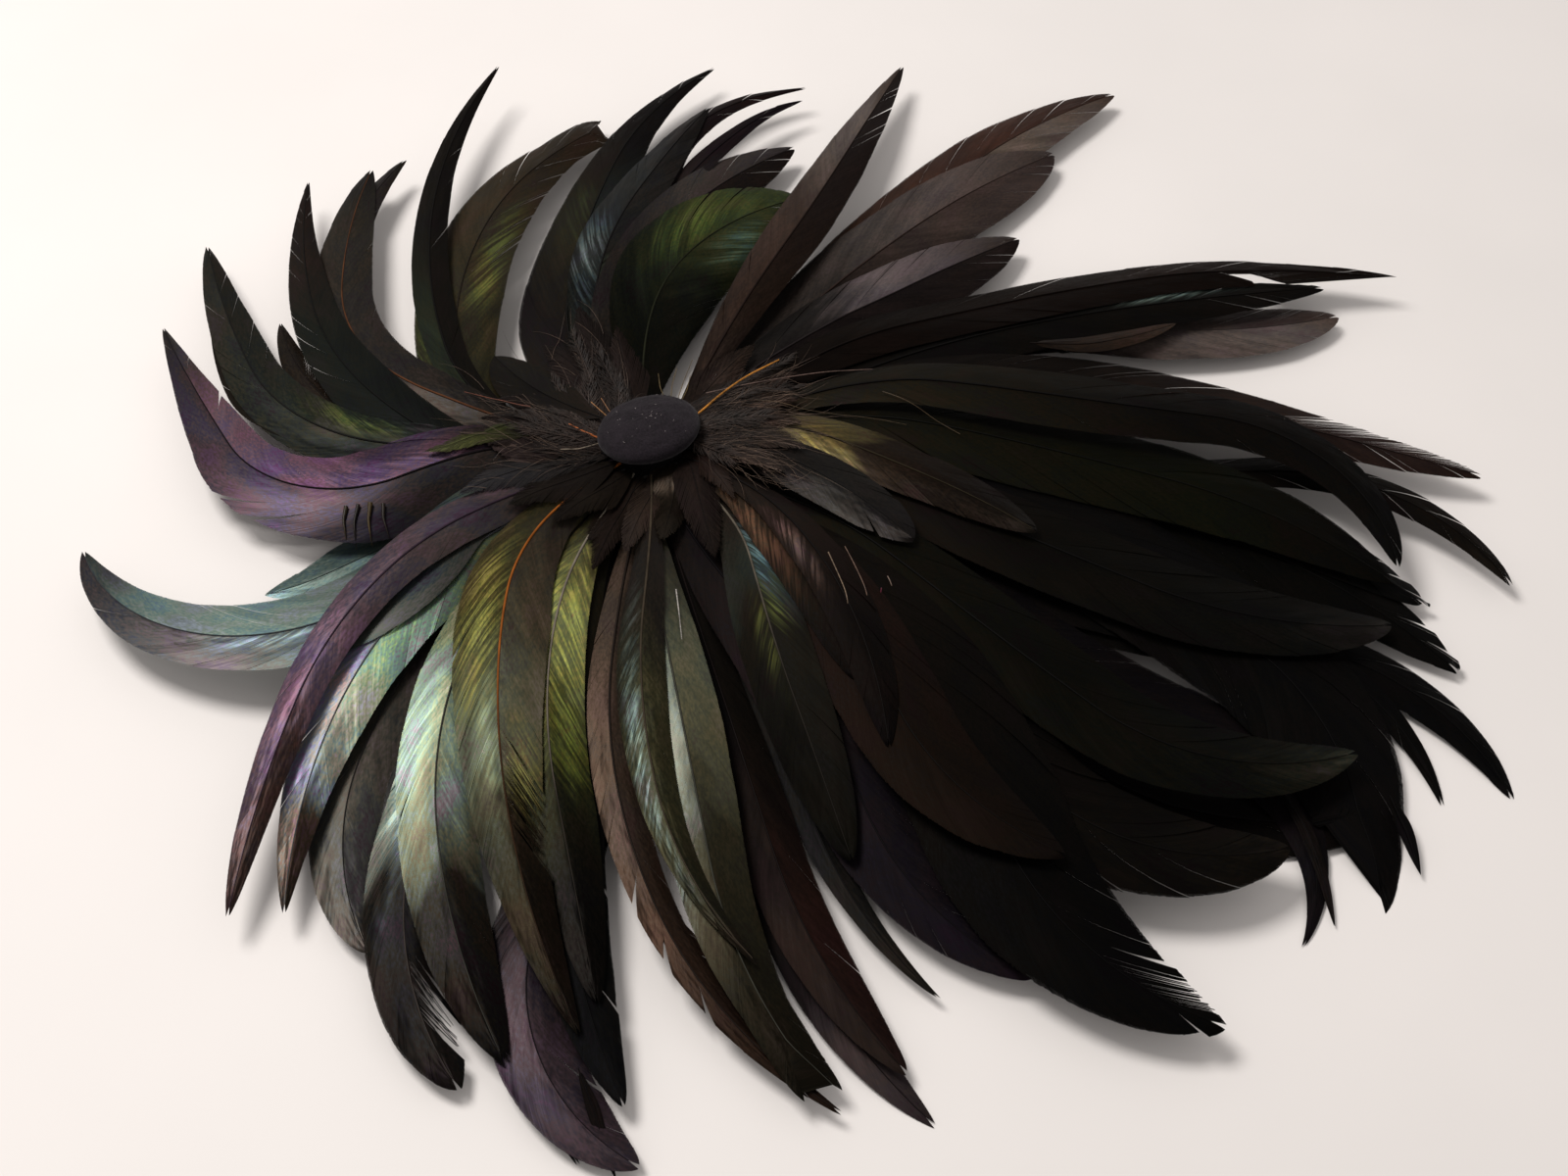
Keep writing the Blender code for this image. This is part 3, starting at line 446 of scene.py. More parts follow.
        painted_highlights=((0, .35, .2, .5, .5, (126, 92, 76), .4),), play=.4),
    "centre_5": look(
        ((0, 29, 23, 21), (.2, 29, 24, 21), (.33, 32, 34, 31), (.45, 19, 16, 13), (.6, 16, 14, 11),
         (.75, 13, 11, 9), (1, 8, 7, 5)),
        painted_highlights=((1, .30, .06, .35, .35, (104, 132, 142), .8), (1, .42, .05, .3, .3, (92, 96, 52), .7),
                (-1, .52, .06, .2, .2, (84, 84, 44), .6)),
        shaft=((0, 112, 104, 92), (.35, 88, 82, 72), (.6, 38, 34, 29), (1, 22, 19, 16)), play=.3),
}

# Slips of feathers that show between the larger ones: width, where it is widest, how much of it is kept up to
# the tip, how blunt the tip is, and points on the shaft with the tip last.
SLIPS = {
    "slip_upper_left": (7.0, .5, .7, 2.0,
                        ((-78.5, -1.0, 10), (-88.6, 3.9, 10), (-98.6, 13.2, 9), (-106.4, 26.9, 8),
                         (-111.4, 38.5, 8), (-113.4, 43.9, 8))),
    "slip_top": (7.0, .5, .8, 1.8,
                 ((-8.6, 65.5, 12), (0.8, 86.9, 12), (10.7, 106.5, 11), (21.2, 121.4, 10), (30.6, 131.4, 9),
                  (37.5, 134.1, 9))),
    "slip_flare": (15.0, .6, .75, 2.6,
                   ((-11.0, 5.0, 13), (-19.0, 9.0, 13), (-27.0, 14.5, 12.5), (-34.0, 21.0, 12),
                    (-40.0, 28.5, 11.5))),
    "slip_under": (22.0, .45, .75, 3.2,
                   ((78.0, -72.0, 2.2), (90.0, -84.0, 2.2), (103.0, -94.0, 2.2), (117.5, -101.0, 2.2),
                    (133.8, -103.5, 2.2), (148.2, -104.5, 2.0), (159.0, -104.0, 1.8))),
    "slip_right": (6.0, .5, .8, 2.2,
                   ((93.1, 31.5, 13), (107.7, 32.0, 12), (120.5, 36.4, 11), (131.0, 41.7, 10))),
    "slip_lower_right": (3.0, .4, .8, 2.0,
                         ((136.3, -94.6, 6), (142.2, -107.0, 4), (144.4, -118.5, 2), (144.9, -128.5, 1))),
    "slip_bottom": (6.0, .4, .8, 2.0,
                    ((4.2, -127.0, 8), (12.4, -136.6, 7), (18.0, -143.3, 5), (22.3, -147.1, 4))),
    "slip_low": (2.6, .4, .8, 2.0,
                 ((-7.6, -163.6, 7), (-4.5, -170.8, 5), (-2.0, -177.9, 3), (0.3, -183.7, 2))),
    "slip_claw": (3.4, .4, .7, 1.8, ((160.7, -98.8, 5), (163.2, -107.5, 3.5), (164.6, -116.8, 2))),
    "slip_left": (15.0, .5, .7, 2.0,
                  ((-44.6, -17.3, 4.5), (-53.3, -22.8, 4.5), (-61.4, -28.3, 4.5), (-69.9, -33.9, 4.3),
                   (-78.7, -39.3, 4.0), (-87.4, -42.2, 3.6))),
}

# Soft vanes that cover the roots round the button: width, how much of it is kept up to the tip, how blunt the
# tip is, the tones at root, middle and tip, and places on the shaft with the tip last.
COVER_PEAK = 0.5
COVERS = {
    "cover_band": (8.5, 0.7, 2.5, ((43, 34, 30), (52, 42, 37), (45, 36, 32)),
                   ((5.0, -6.1), (1.6, -13.8), (-1.0, -21.9), (-2.9, -30.4), (-4.2, -37.8))),
    "cover_low_1": (10.4, 0.7, 2.5, ((27, 21, 18), (34, 28, 23), (32, 27, 22)),
                    ((6.5, -6.8), (6.3, -15.0), (5.2, -24.3), (4.2, -33.4))),
    "cover_low_2": (10.4, 0.6, 2.4, ((23, 18, 16), (29, 22, 20), (23, 18, 16)),
                    ((9.2, -5.5), (10.9, -15.0), (12.9, -24.3), (14.9, -33.4), (16.4, -40.8))),
    "cover_low_3": (7.2, 0.4, 1.8, ((36, 27, 22), (43, 32, 28), (40, 30, 25)),
                    ((10.5, -3.6), (14.0, -10.0), (17.3, -16.9), (20.7, -25.8))),
    "cover_low_4": (10.4, 0.6, 2.2, ((27, 21, 18), (34, 26, 22), (29, 22, 19)),
                    ((0.5, -9.3), (-3.6, -15.0), (-7.3, -20.6), (-10.6, -26.7), (-12.9, -32.8))),
    "cover_low_5": (11.7, 0.6, 2.2, ((22, 17, 14), (25, 20, 16), (22, 17, 14)),
                    ((-5.0, -10.0), (-10.5, -15.6), (-15.9, -21.2), (-20.9, -28.9))),
    "cover_low_6": (13.0, 0.5, 2.2, ((22, 18, 15), (27, 22, 20), (23, 20, 17)),
                    ((-9.3, -8.1), (-16.4, -13.1), (-23.9, -18.1), (-31.5, -25.5))),
    "cover_low_7": (13.0, 0.5, 2.2, ((27, 23, 22), (41, 39, 40), (47, 45, 49)),
                    ((-11.7, -5.5), (-20.2, -7.7), (-28.1, -11.2), (-35.7, -16.3), (-43.1, -23.1))),
    "cover_low_8": (9.1, 0.5, 2.0, ((22, 16, 14), (25, 19, 16), (22, 16, 14)),
                    ((-2.2, -10.3), (-4.6, -18.1), (-7.5, -25.8), (-9.5, -34.0), (-11.4, -43.4))),
    "cover_side_1": (9.1, 0.5, 2.0, ((40, 31, 27), (52, 42, 39), (45, 38, 35)),
                     ((12.3, -0.3), (18.5, -4.9), (25.1, -10.6), (32.0, -17.5))),
    "cover_side_2": (10.4, 0.6, 2.2, ((36, 28, 24), (45, 37, 33), (41, 35, 32)),
                     ((12.8, 1.6), (20.3, -0.3), (28.5, -4.2), (37.1, -10.0))),
    "cover_side_3": (11.7, 0.5, 2.0, ((34, 26, 22), (43, 33, 29), (38, 29, 25)),
                     ((12.7, 4.2), (20.2, 4.2), (28.5, 2.9), (36.2, -0.3))),
    "cover_side_4": (13.0, 0.5, 2.2, ((32, 24, 21), (40, 30, 25), (34, 25, 22)),
                     ((12.1, 7.5), (19.0, 9.5), (27.3, 10.2), (35.8, 8.9))),
    "cover_side_5": (13.0, 0.5, 2.0, ((29, 22, 18), (36, 27, 23), (31, 22, 19)),
                     ((11.1, 10.9), (17.7, 15.2), (26.0, 18.6), (34.9, 20.7))),
    "cover_side_6": (11.7, 0.5, 2.0, ((25, 19, 16), (32, 24, 21), (29, 22, 18)),
                     ((9.4, 13.2), (13.3, 19.0), (18.7, 25.2), (24.7, 31.4))),
    "cover_up_1": (11.7, 0.5, 2.0, ((31, 24, 22), (41, 33, 32), (36, 29, 28)),
                   ((-11.9, -2.9), (-18.2, -2.3), (-25.3, -1.6), (-32.2, -2.9), (-37.8, -6.1))),
    "cover_up_2": (10.4, 0.5, 2.0, ((29, 22, 21), (36, 29, 27), (32, 26, 24)),
                   ((-12.0, -1.0), (-19.6, 1.0), (-26.8, 3.6), (-34.0, 4.2), (-40.8, 2.3))),
    "cover_up_3": (13.0, 0.5, 2.0, ((27, 22, 20), (34, 28, 26), (29, 23, 22)),
                   ((-12.1, 1.6), (-18.7, 5.9), (-24.9, 10.2), (-31.0, 12.2), (-37.4, 11.5))),
    "cover_up_4": (15.6, 0.5, 2.2, ((25, 20, 18), (31, 25, 24), (25, 21, 20)),
                   ((-11.3, 4.2), (-16.6, 10.2), (-21.7, 15.6), (-28.0, 19.7), (-34.9, 21.7))),
    "cover_up_5": (15.6, 0.5, 2.2, ((23, 18, 17), (29, 23, 22), (23, 19, 18)),
                   ((-9.6, 7.5), (-13.8, 14.9), (-18.1, 21.7), (-23.3, 27.9), (-28.4, 32.1))),
    "cover_up_6": (14.3, 0.5, 2.0, ((22, 17, 15), (25, 21, 20), (20, 16, 15)),
                   ((-6.9, 10.2), (-9.7, 17.6), (-13.0, 25.9), (-16.8, 33.6), (-19.7, 41.4))),
    "cover_up_7": (10.4, 0.5, 2.0, ((25, 19, 16), (29, 22, 21), (23, 18, 16)),
                   ((-4.2, 12.5), (-5.9, 19.3), (-8.2, 27.2), (-9.6, 35.0))),
    "cover_up_8": (6.5, 0.4, 1.8, ((40, 32, 30), (50, 41, 40), (45, 37, 35)),
                   ((-14.9, 1.0), (-21.0, 4.2), (-26.7, 7.5), (-31.5, 8.9))),
    "cover_up_9": (9.1, 0.5, 2.0, ((31, 24, 22), (40, 32, 32), (36, 30, 28)),
                   ((-26.5, -8.1), (-33.3, -4.2), (-39.3, -2.0), (-45.6, -2.3))),
    "cover_green_1": (3.4, 0.5, 1.8, ((38, 34, 23), (56, 59, 32), (45, 45, 28)),
                      ((-27.4, 4.2), (-33.7, 1.6), (-38.8, -2.3), (-43.7, -6.8))),
    "cover_green_2": (5.9, 0.6, 2.0, ((31, 27, 22), (58, 59, 34), (47, 49, 31)),
                      ((-39.9, -2.9), (-44.8, -5.5), (-48.8, -7.4), (-52.9, -8.1))),
}
COVER_EXTRAS = {"cover_green_1": {"play": .2, "frays": (), "streaks": 3.0}, "cover_green_2": {"streaks": 3.0}}


def cover_look(name):
    """A soft vane's looks from its three tones. Its barbs end unevenly, unless its extras say otherwise."""
    stops = tuple((share, *tone) for share, tone in zip((0, .5, 1), COVERS[name][3]))
    return look(stops, **{"play": .15, "frays": LOOSE, **COVER_EXTRAS.get(name, {})})


LOOKS.update({name: cover_look(name) for name in COVERS})

# Bare quills and stray barbs that show round the button and over feather_left_1: radius at both ends, colour
# and points.
QUILLS = {
    "quill_notch_1": (.55, .06, (44, 36, 22),
                      ((-70.0, -22.1, 9.6), (-70.4, -25.5, 9.4), (-69.4, -30.1, 9.2))),
    "quill_notch_2": (.50, .06, (30, 24, 20),
                      ((-67.2, -21.7, 9.8), (-67.9, -25.9, 9.6), (-67.2, -30.9, 9.4))),
    "quill_notch_3": (.60, .06, (70, 56, 30),
                      ((-64.4, -21.3, 10.0), (-64.6, -25.5, 9.8), (-63.6, -30.3, 9.6))),
    "quill_notch_4": (.50, .06, (34, 27, 20),
                      ((-61.4, -21.4, 10.2), (-61.2, -24.9, 10.0), (-59.6, -29.1, 9.8))),
    "quill_red": (.10, .13, (112, 62, 44), ((-45.5, 12.9, 12), (-38.2, 11.2, 12), (-29.2, 8.5, 12))),
    "quill_up_1": (.10, .07, (118, 100, 66), ((3.0, 13.6, 14), (1.6, 18.0, 14), (1.0, 22.7, 14))),
    "quill_up_2": (.10, .07, (118, 100, 66), ((4.4, 13.2, 14), (4.5, 18.6, 14), (5.5, 24.8, 14))),
    "quill_up_3": (.10, .07, (118, 100, 66), ((5.9, 12.9, 14), (7.3, 20.0, 14), (9.3, 27.6, 14))),
    "quill_up_4": (.10, .07, (118, 100, 66), ((6.8, 12.6, 14), (8.3, 17.3, 14), (8.9, 22.1, 14))),
    "quill_gold": (.32, .20, (186, 122, 44),
                   ((8.5, 5.2, 14), (11.3, 6.9, 15), (15.0, 10.9, 17), (22.5, 18.1, 17.5), (30.8, 24.5, 17))),
    "quill_orange": (.30, .22, (176, 96, 46),
                     ((-10.5, -1.4, 13.8), (-11.5, -0.7, 14), (-15.3, 0.7, 14.6), (-19.6, 2.9, 15))),
    "quill_split": (.16, .10, (168, 118, 70), ((-8.5, 5.2, 14), (-12.3, 8.4, 15.5), (-14.8, 10.9, 16))),
    "quill_split_2": (.14, .10, (150, 104, 66), ((-8.0, 5.6, 14), (-10.4, 8.6, 15.5), (-12.4, 12.2, 16))),
    "quill_pink": (.17, .10, (104, 84, 76),
                   ((13.0, 14.9, 15), (26.1, 16.9, 17), (41.5, 19.3, 18), (55.9, 20.3, 18))),
    "quill_pale": (.08, .05, (86, 70, 48),
                   ((24.9, 9.5, 17), (39.0, 5.9, 18), (50.7, 3.3, 18), (61.1, -0.2, 17.5))),
    "quill_edge": (.08, .05, (84, 68, 48), ((55.6, 8.5, 17), (64.7, 3.1, 17.5), (73.7, -3.7, 17.5))),
    "quill_left": (.16, .14, (130, 118, 104),
                   ((-21.0, -6.0, 14.6), (-16.8, -4.8, 15), (-13.4, -2.9, 15), (-11.4, -1.5, 14.5))),
    "quill_white": (.17, .10, (176, 170, 164), ((7.9, -50.3, 14), (8.8, -57.4, 14), (9.7, -65.7, 13))),
    "quill_low": (.14, .10, (122, 104, 86), ((41.9, -44.0, 15), (45.5, -55.4, 15), (47.0, -65.1, 15))),
    "quill_low_2": (.12, .10, (110, 88, 76), ((45.7, -40.4, 16), (49.9, -53.4, 16), (52.8, -65.1, 15))),
    "quill_low_3": (.12, .10, (122, 104, 92), ((55.1, -48.3, 15), (57.7, -55.4, 15), (59.2, -61.5, 15))),
    "quill_magenta": (.16, .12, (92, 22, 44), ((53.6, -52.4, 15.5), (52.3, -61.2, 15.3), (51.9, -69.2, 15))),
    "quill_last": (.14, .08, (112, 88, 56), ((52.9, -69.4, 14.5), (54.4, -79.2, 14), (55.1, -89.6, 14))),
}

# Brown down round the button, lowest layer first: dark and light tone, hairs, nearest and farthest root,
# shortest and longest hair, width of a hair, and how far it lifts.
DOWN_LAYERS = {
    "down_under": ((12, 9, 7), (28, 21, 17), 1300, (8.0, 25.0), (5.0, 13.0), .18, 0.4),
    "down_brown": ((18, 13, 11), (39, 29, 24), 1100, (8.5, 24.0), (4.0, 11.0), .13, 0.7),
    "down_grey": ((29, 22, 19), (57, 45, 39), 200, (9.0, 20.0), (3.0, 8.0), .10, 1.0),
}

# Sectors round the button where down, tufts and hairs grow, as (middle, spread, weight) in degrees.
DOWN_SECTORS = ((150.0, 50.0, 4.0), (190.0, 20.0, 1.0), (20.0, 35.0, 3.4), (80.0, 40.0, 1.6))
TUFT_SECTORS = ((150.0, 45.0, 3.0), (15.0, 30.0, 2.0))
HAIR_SECTORS = ((5.0, 40.0, 3.0), (160.0, 50.0, 1.5))

# Tufts are small downy feathers: how many, their barbs on each side, and the points along their shaft.
TUFTS = 20
TUFT_BARBS = 44
TUFT_STATIONS = 14
HAIRS = 300

# Between these angles, and past this distance, the bare table shows behind the button.
GAP_ANGLES = (50.0, 106.0)
GAP_FROM = 17.0

# Heights round the middle are read on a grid of one-millimetre steps that reaches this far.
FIELD = 78

# The button's outline as (radius, height), how far it leans and to which heading, how finely it is drawn, how
# wide the rings at its two middles are, and how much noise of which fineness makes it uneven.
BUTTON_PROFILE = ((9.6, 0.0), (11.6, 0.6), (12.5, 1.9), (12.4, 3.2), (11.5, 4.4), (9.0, 5.5), (5.0, 6.3),
                  (0.0, 6.6))
BUTTON_LEAN = 13.0
BUTTON_LEAN_HEADING = 130.0
BUTTON_RINGS = 64
BUTTON_SIDES = 120
BUTTON_TIP = 0.02
BUTTON_UNEVEN = ((0.16, 0.35), (0.07, 1.4), (0.035, 4.0))
NAP_HAIRS = 2600
LINT_HAIRS = 26

# Felts: dark and light tone, and the size of their grain. Hairs: dark and light tone, and how rough they are.
FELTS = {
    "button_felt": ((20, 17, 20), (34, 29, 34), 0.45),
    "button_nap": ((26, 22, 26), (47, 42, 47), 0.3),
    "button_lint": ((100, 93, 93), (160, 153, 151), 0.2),
    "pad_felt": ((16, 15, 16), (30, 28, 30), 0.5),
}
HAIR_TONES = {
    "tuft_brown": ((19, 14, 11), (37, 28, 23), 0.6),
    "tuft_grey": ((23, 18, 15), (46, 36, 31), 0.6),
    "tuft_shafts": ((30, 23, 19), (56, 44, 37), 0.5),
    "down_hairs": ((46, 36, 30), (92, 75, 62), 0.45),
}
DOWN_ROUGH = 0.75
QUILL_ROUGH = 0.35

# Rays that feel for heights start this far up, in metres, and go straight down.
RAY_FROM = 0.2
DOWN = Vector((0.0, 0.0, -1.0))


def linear(colour):
    """A colour given in screen values of 0 to 255, as the shader takes it."""
    parts = [value / 255.0 for value in colour]
    return tuple(v / 12.92 if v <= 0.04045 else ((v + 0.055) / 1.055) ** 2.4 for v in parts) + (1.0,)


def smooth(value):
    """From 0 to 1 with a soft start and a soft end."""
    value = np.clip(value, 0.0, 1.0)
    return value * value * (3.0 - 2.0 * value)


def blur(values, spread):
    """Values softened along their row by a bell-shaped weight that spreads over some places to each side."""
    reach = int(3 * spread) + 1
    weight = np.exp(-0.5 * (np.arange(-reach, reach + 1) / spread) ** 2)
    weight /= weight.sum()
    start = values[0] - (values[1] - values[0]) * np.arange(reach, 0, -1)
    end = values[-1] + (values[-1] - values[-2]) * np.arange(1, reach + 1)
    return np.convolve(np.concatenate((start, values, end)), weight, mode="valid")[:len(values)]


def run_of(points):
    """How far along a line each of its points is."""
    return np.concatenate(((0.0,), np.cumsum(np.linalg.norm(np.diff(points, axis=0), axis=1))))


def unit(rows):
    return rows / np.linalg.norm(rows, axis=1)[:, None]


def column(values):
    """One value for each barb, set up to meet values along the barbs."""
    return values[:, None, None]


def tree_of(objects):
    """A tree of the faces of some objects, for rays to meet."""
    points, faces = [], []
    for item in objects:
        first = len(points)
        points += [vertex.co.copy() for vertex in item.data.vertices]
        faces += [tuple(first + index for index in face.vertices) for face in item.data.polygons]
    return BVHTree.FromPolygons(points, faces)


def top_of(tree, x, y):
    """Height in millimetres of the first thing under a place, or nan."""
    hit = tree.ray_cast(Vector((x * MM, y * MM, RAY_FROM)), DOWN)[0]
    return hit.z / MM if hit is not None else math.nan


class Sheet:
    """The smooth surface that a feather's barbs lie in. A point is given by its share of the length and its
    distance to the left of the middle."""

    def __init__(self, name):
        self.name = name
        ring, heading, bends, length, width, self.peak, self.end, self.blunt, self.fork, _ = PLAN[name]
        self.length, self.width, self.widest = length, width, width / 2.0
        steps = 600
        middle = (np.arange(steps) + 0.5) / steps
        self.shares = np.linspace(0.0, 1.0, steps + 1)
        turn = [heading + sum(bend * np.clip(3.0 * at - third, 0.0, 1.0) for third, bend in enumerate(bends))
                for at in (middle, self.shares)]
        step = np.radians(turn[0])
        start = math.radians(heading)
        self.x = ring * math.cos(start) + np.concatenate(((0.0,), np.cumsum(np.cos(step)))) * length / steps
        self.y = ring * math.sin(start) + np.concatenate(((0.0,), np.cumsum(np.sin(step)))) * length / steps
        self.turn = np.radians(turn[1])
        self.split_at = 1.0 if self.fork is None else 1.0 - self.fork[0] / length
        self.quill = QUILL_WIDTH / 2.0
        self.offset = LOOKS[name]["offset"]

    def half_width(self, share):
        """Half the width of the vanes: opening up to the widest place, then closing to the tip or a fork."""
        opening = self.quill + (self.widest - self.quill) * smooth(share / self.peak) ** 0.6
        closing = np.clip((share - self.peak) / (1.0 - self.peak), 0.0, 1.0)
        rounding = np.maximum(1.0 - closing ** self.blunt, 0.0) ** 0.7
        tapered = self.widest * (1.0 - (1.0 - self.end) * closing) * rounding
        if self.fork is not None:
            part = np.clip((share - self.split_at) / (1.0 - self.split_at), 0.0, 1.0)
            kept = np.maximum(tapered, self.width * FORK_WIDTH) * (1.0 - part) ** 0.7
            tapered = np.where(share > self.peak, kept, tapered)
        reach = np.where(share < self.peak, opening, np.maximum(tapered, 0.15))
        return np.where(share > 1.0, 0.02, reach)

    def plan(self, share, side):
        """Places seen from above."""
        inside = np.clip(share, 0.0, 1.0)
        turn = np.interp(inside, self.shares, self.turn)
        past = (share - inside) * self.length
        x = np.interp(inside, self.shares, self.x) + past * np.cos(turn) - side * np.sin(turn)
        y = np.interp(inside, self.shares, self.y) + past * np.sin(turn) + side * np.cos(turn)
        return x, y

    def read_heights(self, tree):
        """The solid's heights along its ridge and towards both edges, softened a little."""
        near_edge = 0.8
        at = np.linspace(0.012, min(0.985, self.split_at - 0.004), 100)
        rows = []
        for part in (0.0, near_edge, -near_edge):
            x, y = self.plan(at, part * self.half_width(at))
            z = np.array([top_of(tree, *spot) for spot in zip(x, y)])
            known = np.isfinite(z)
            rows.append(np.interp(at, at[known], z[known]))
        ridge = rows[0]
        left, right = ((row - ridge) / near_edge for row in rows[1:])
        self.at = at
        self.ridge, self.left, self.right = (blur(row, 2.5) for row in (ridge, left, right))

    def along(self, row, share):
        """A row of heights at some shares, running on straight past its last one."""
        last = self.at[-1]
        slope = (row[-1] - row[-9]) / (last - self.at[-9])
        past = row[-1] + slope * np.maximum(share - last, 0.0)
        return np.where(share > last, past, np.interp(share, self.at, row))

    def outward(self, share, side):
        """Half the width at some places, and how much of it they are from the middle."""
        reach = np.maximum(self.half_width(np.clip(share, 0.0, 1.0)), 0.5)
        return reach, np.minimum(np.abs(side) / reach, 1.3)

    def height(self, share, side):
        part = self.outward(share, side)[1]
        ridge, left, right = (self.along(row, share) for row in (self.ridge, self.left, self.right))
        lean = (left - right) / 2.0 * np.sign(side)
        camber = (left + right) / 2.0
        return np.maximum(ridge + lean * part + camber * part ** 1.5, LOWEST_SHEET)

    def shaft_side(self, share):
        """How far to the left of the middle the shaft runs."""
        inside = np.clip(share, 0.0, 1.0)
        return self.offset * self.half_width(inside) * np.sqrt(np.maximum(np.sin(math.pi * inside), 0.0))

    def forked(self, share, side):
        """Moves points of a split end into its two prongs."""
        if self.fork is None:
            return share, side
        notch, short, short_side = self.fork
        reach = max(float(self.half_width(np.array(self.split_at - 0.001))), self.width * FORK_WIDTH)
        part = np.clip((share - self.split_at) / (1.0 - self.split_at), 0.0, 1.2)
        on_short = side * short_side > 0.0
        moved = side + np.where(on_short, 0.8, -0.6) * short_side * reach * part
        shorter = self.split_at + (share - self.split_at) * (1.0 - short / notch)
        return np.where(on_short & (share > self.split_at), shorter, share), moved


class Slip(Sheet):
    """A vane that shows only in part among the others. Its shaft runs through given points, and it starts
    with a share of its width."""

    def __init__(self, name, width, peak, end, blunt, points, start=0.1):
        self.name = name
        self.quill = start * width
        points = np.array(points, dtype=float)
        run = run_of(points)
        self.length, self.width, self.widest = float(run[-1]), width, width / 2.0
        self.peak, self.end, self.blunt = peak, end, blunt
        self.fork, self.split_at, self.offset = None, 1.0, 0.0
        self.shares = np.linspace(0.0, 1.0, 301)
        self.x, self.y, self.z = (blur(np.interp(self.shares * run[-1], run, row), 22.0) for row in points.T)
        self.turn = np.unwrap(np.arctan2(np.gradient(self.y), np.gradient(self.x)))

    def height(self, share, side):
        reach, part = self.outward(share, side)
        return np.maximum(np.interp(share, self.shares, self.z) - 0.12 * reach * part ** 1.5, LOWEST_SHEET)


def add_mesh(name, points, faces, materials, choice=None, layers=()):
    """A mesh from points in millimetres and faces of four corners. choice: the number of each face's
    material. layers: named (u, v) rows, one for each point."""
    mesh = bpy.data.meshes.new(name)
    points = np.asarray(points, dtype=np.float32) * MM
    faces = np.asarray(faces, dtype=np.int32)
    corners = faces.shape[1]
    mesh.vertices.add(len(points))
    mesh.vertices.foreach_set("co", points.ravel())
    mesh.loops.add(faces.size)
    mesh.loops.foreach_set("vertex_index", faces.ravel())
    mesh.polygons.add(len(faces))
    mesh.polygons.foreach_set("loop_start", np.arange(0, faces.size, corners, dtype=np.int32))
    mesh.polygons.foreach_set("use_smooth", np.ones(len(faces), dtype=bool))
    for material in materials:
        mesh.materials.append(material)
    if choice is not None:
        mesh.polygons.foreach_set("material_index", np.asarray(choice, dtype=np.int32))
    for title, rows in layers:
        layer = mesh.uv_layers.new(name=title)
        layer.uv.foreach_set("vector", np.asarray(rows, dtype=np.float32)[faces.ravel()].ravel())
    mesh.update(calc_edges=True)
    piece = bpy.data.objects.new(name, mesh)
    bpy.context.scene.collection.objects.link(piece)
    return piece


def own(piece, node=None):
    """The piece rides on the one body; it may stand for a node, which is then hidden."""
    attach(piece, "root")
    if node:
        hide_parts(node)
    return piece


def ring_faces(rings, sides):
    """Faces between closed rings of points, each ring joined to the next."""
    first = np.arange(rings - 1)[:, None] * sides
    step = np.arange(sides)[None, :]
    after = (step + 1) % sides
    corners = (first + step, first + after, first + sides + after, first + sides + step)
    return np.stack(corners, -1).reshape(-1, 4)


def ribbon_faces(first, count, stations, flipped):
    """Faces of ribbons whose points come one edge after the other, from a first point on."""
    grid = first + np.arange(count * 2 * stations).reshape(count, 2, stations)
    a, b, c, d = grid[:, 0, :-1], grid[:, 1, :-1], grid[:, 1, 1:], grid[:, 0, 1:]
    return np.stack((a, d, c, b) if flipped else (a, b, c, d), -1).reshape(-1, 4)


def tube(line, radius):
    """Points and faces of a tube along a line of points, with one radius for each."""
    ahead = unit(np.gradient(line, axis=0))
    across = unit(np.cross(ahead, (0.0, 0.0, 1.0)))
    up = np.cross(across, ahead)
    angle = np.arange(TUBE_SIDES) * 2.0 * math.pi / TUBE_SIDES
    cosine, sine = np.cos(angle)[None, :, None], np.sin(angle)[None, :, None]
    rings = line[:, None, :] + radius[:, None, None] * (across[:, None, :] * cosine + up[:, None, :] * sine)
    return rings.reshape(-1, 3), ring_faces(len(line), TUBE_SIDES)


def strands(name, lines, widths, material):
    """Hairs as flat ribbons along lines of points, facing up, each tapering to its end."""
    count, stations = lines.shape[:2]
    ahead = np.gradient(lines, axis=1)
    across = np.cross(ahead, (0.0, 0.0, 1.0))
    across /= np.maximum(np.linalg.norm(across, axis=2), 1e-9)[:, :, None]
    taper = np.interp(np.linspace(0.0, 1.0, stations), (0.0, 0.6, 1.0), (1.0, 0.8, 0.2))
    half = (widths[:, None] * taper[None, :] / 2.0)[:, :, None] * across
    points = np.stack((lines - half, lines + half), 1).reshape(-1, 3)
    own(add_mesh(name, points, ribbon_faces(0, count, stations, True), (material,)), None)


def barb_path(sheet, root, lean, away):
    """The share that a barb has reached at some distance from the shaft."""
    return root + (lean * away + BOW * away ** 2 / sheet.widest) / sheet.length


def barb_reach(sheet, roots, sweep, base):
    """How far from the shaft each barb meets the edge of its vane, found by halving."""
    low, high = np.zeros(len(roots)), np.full(len(roots), 1.6 * sheet.widest)
    for _ in range(36):
        middle = (low + high) / 2.0
        outside = base + middle > sheet.half_width(barb_path(sheet, roots, sweep, middle))
        high = np.where(outside, middle, high)
        low = np.where(outside, low, middle)
    return low


def zoned(zones, side, places, plain):
    """A value for each place: the plain one, or that of the stretch (side, from, to, value) that it is in."""
    values = np.full(len(places), plain)
    for where, first, last, value in zones:
        if where == side:
            values = np.where((places > first) & (places < last), value, values)
    return values


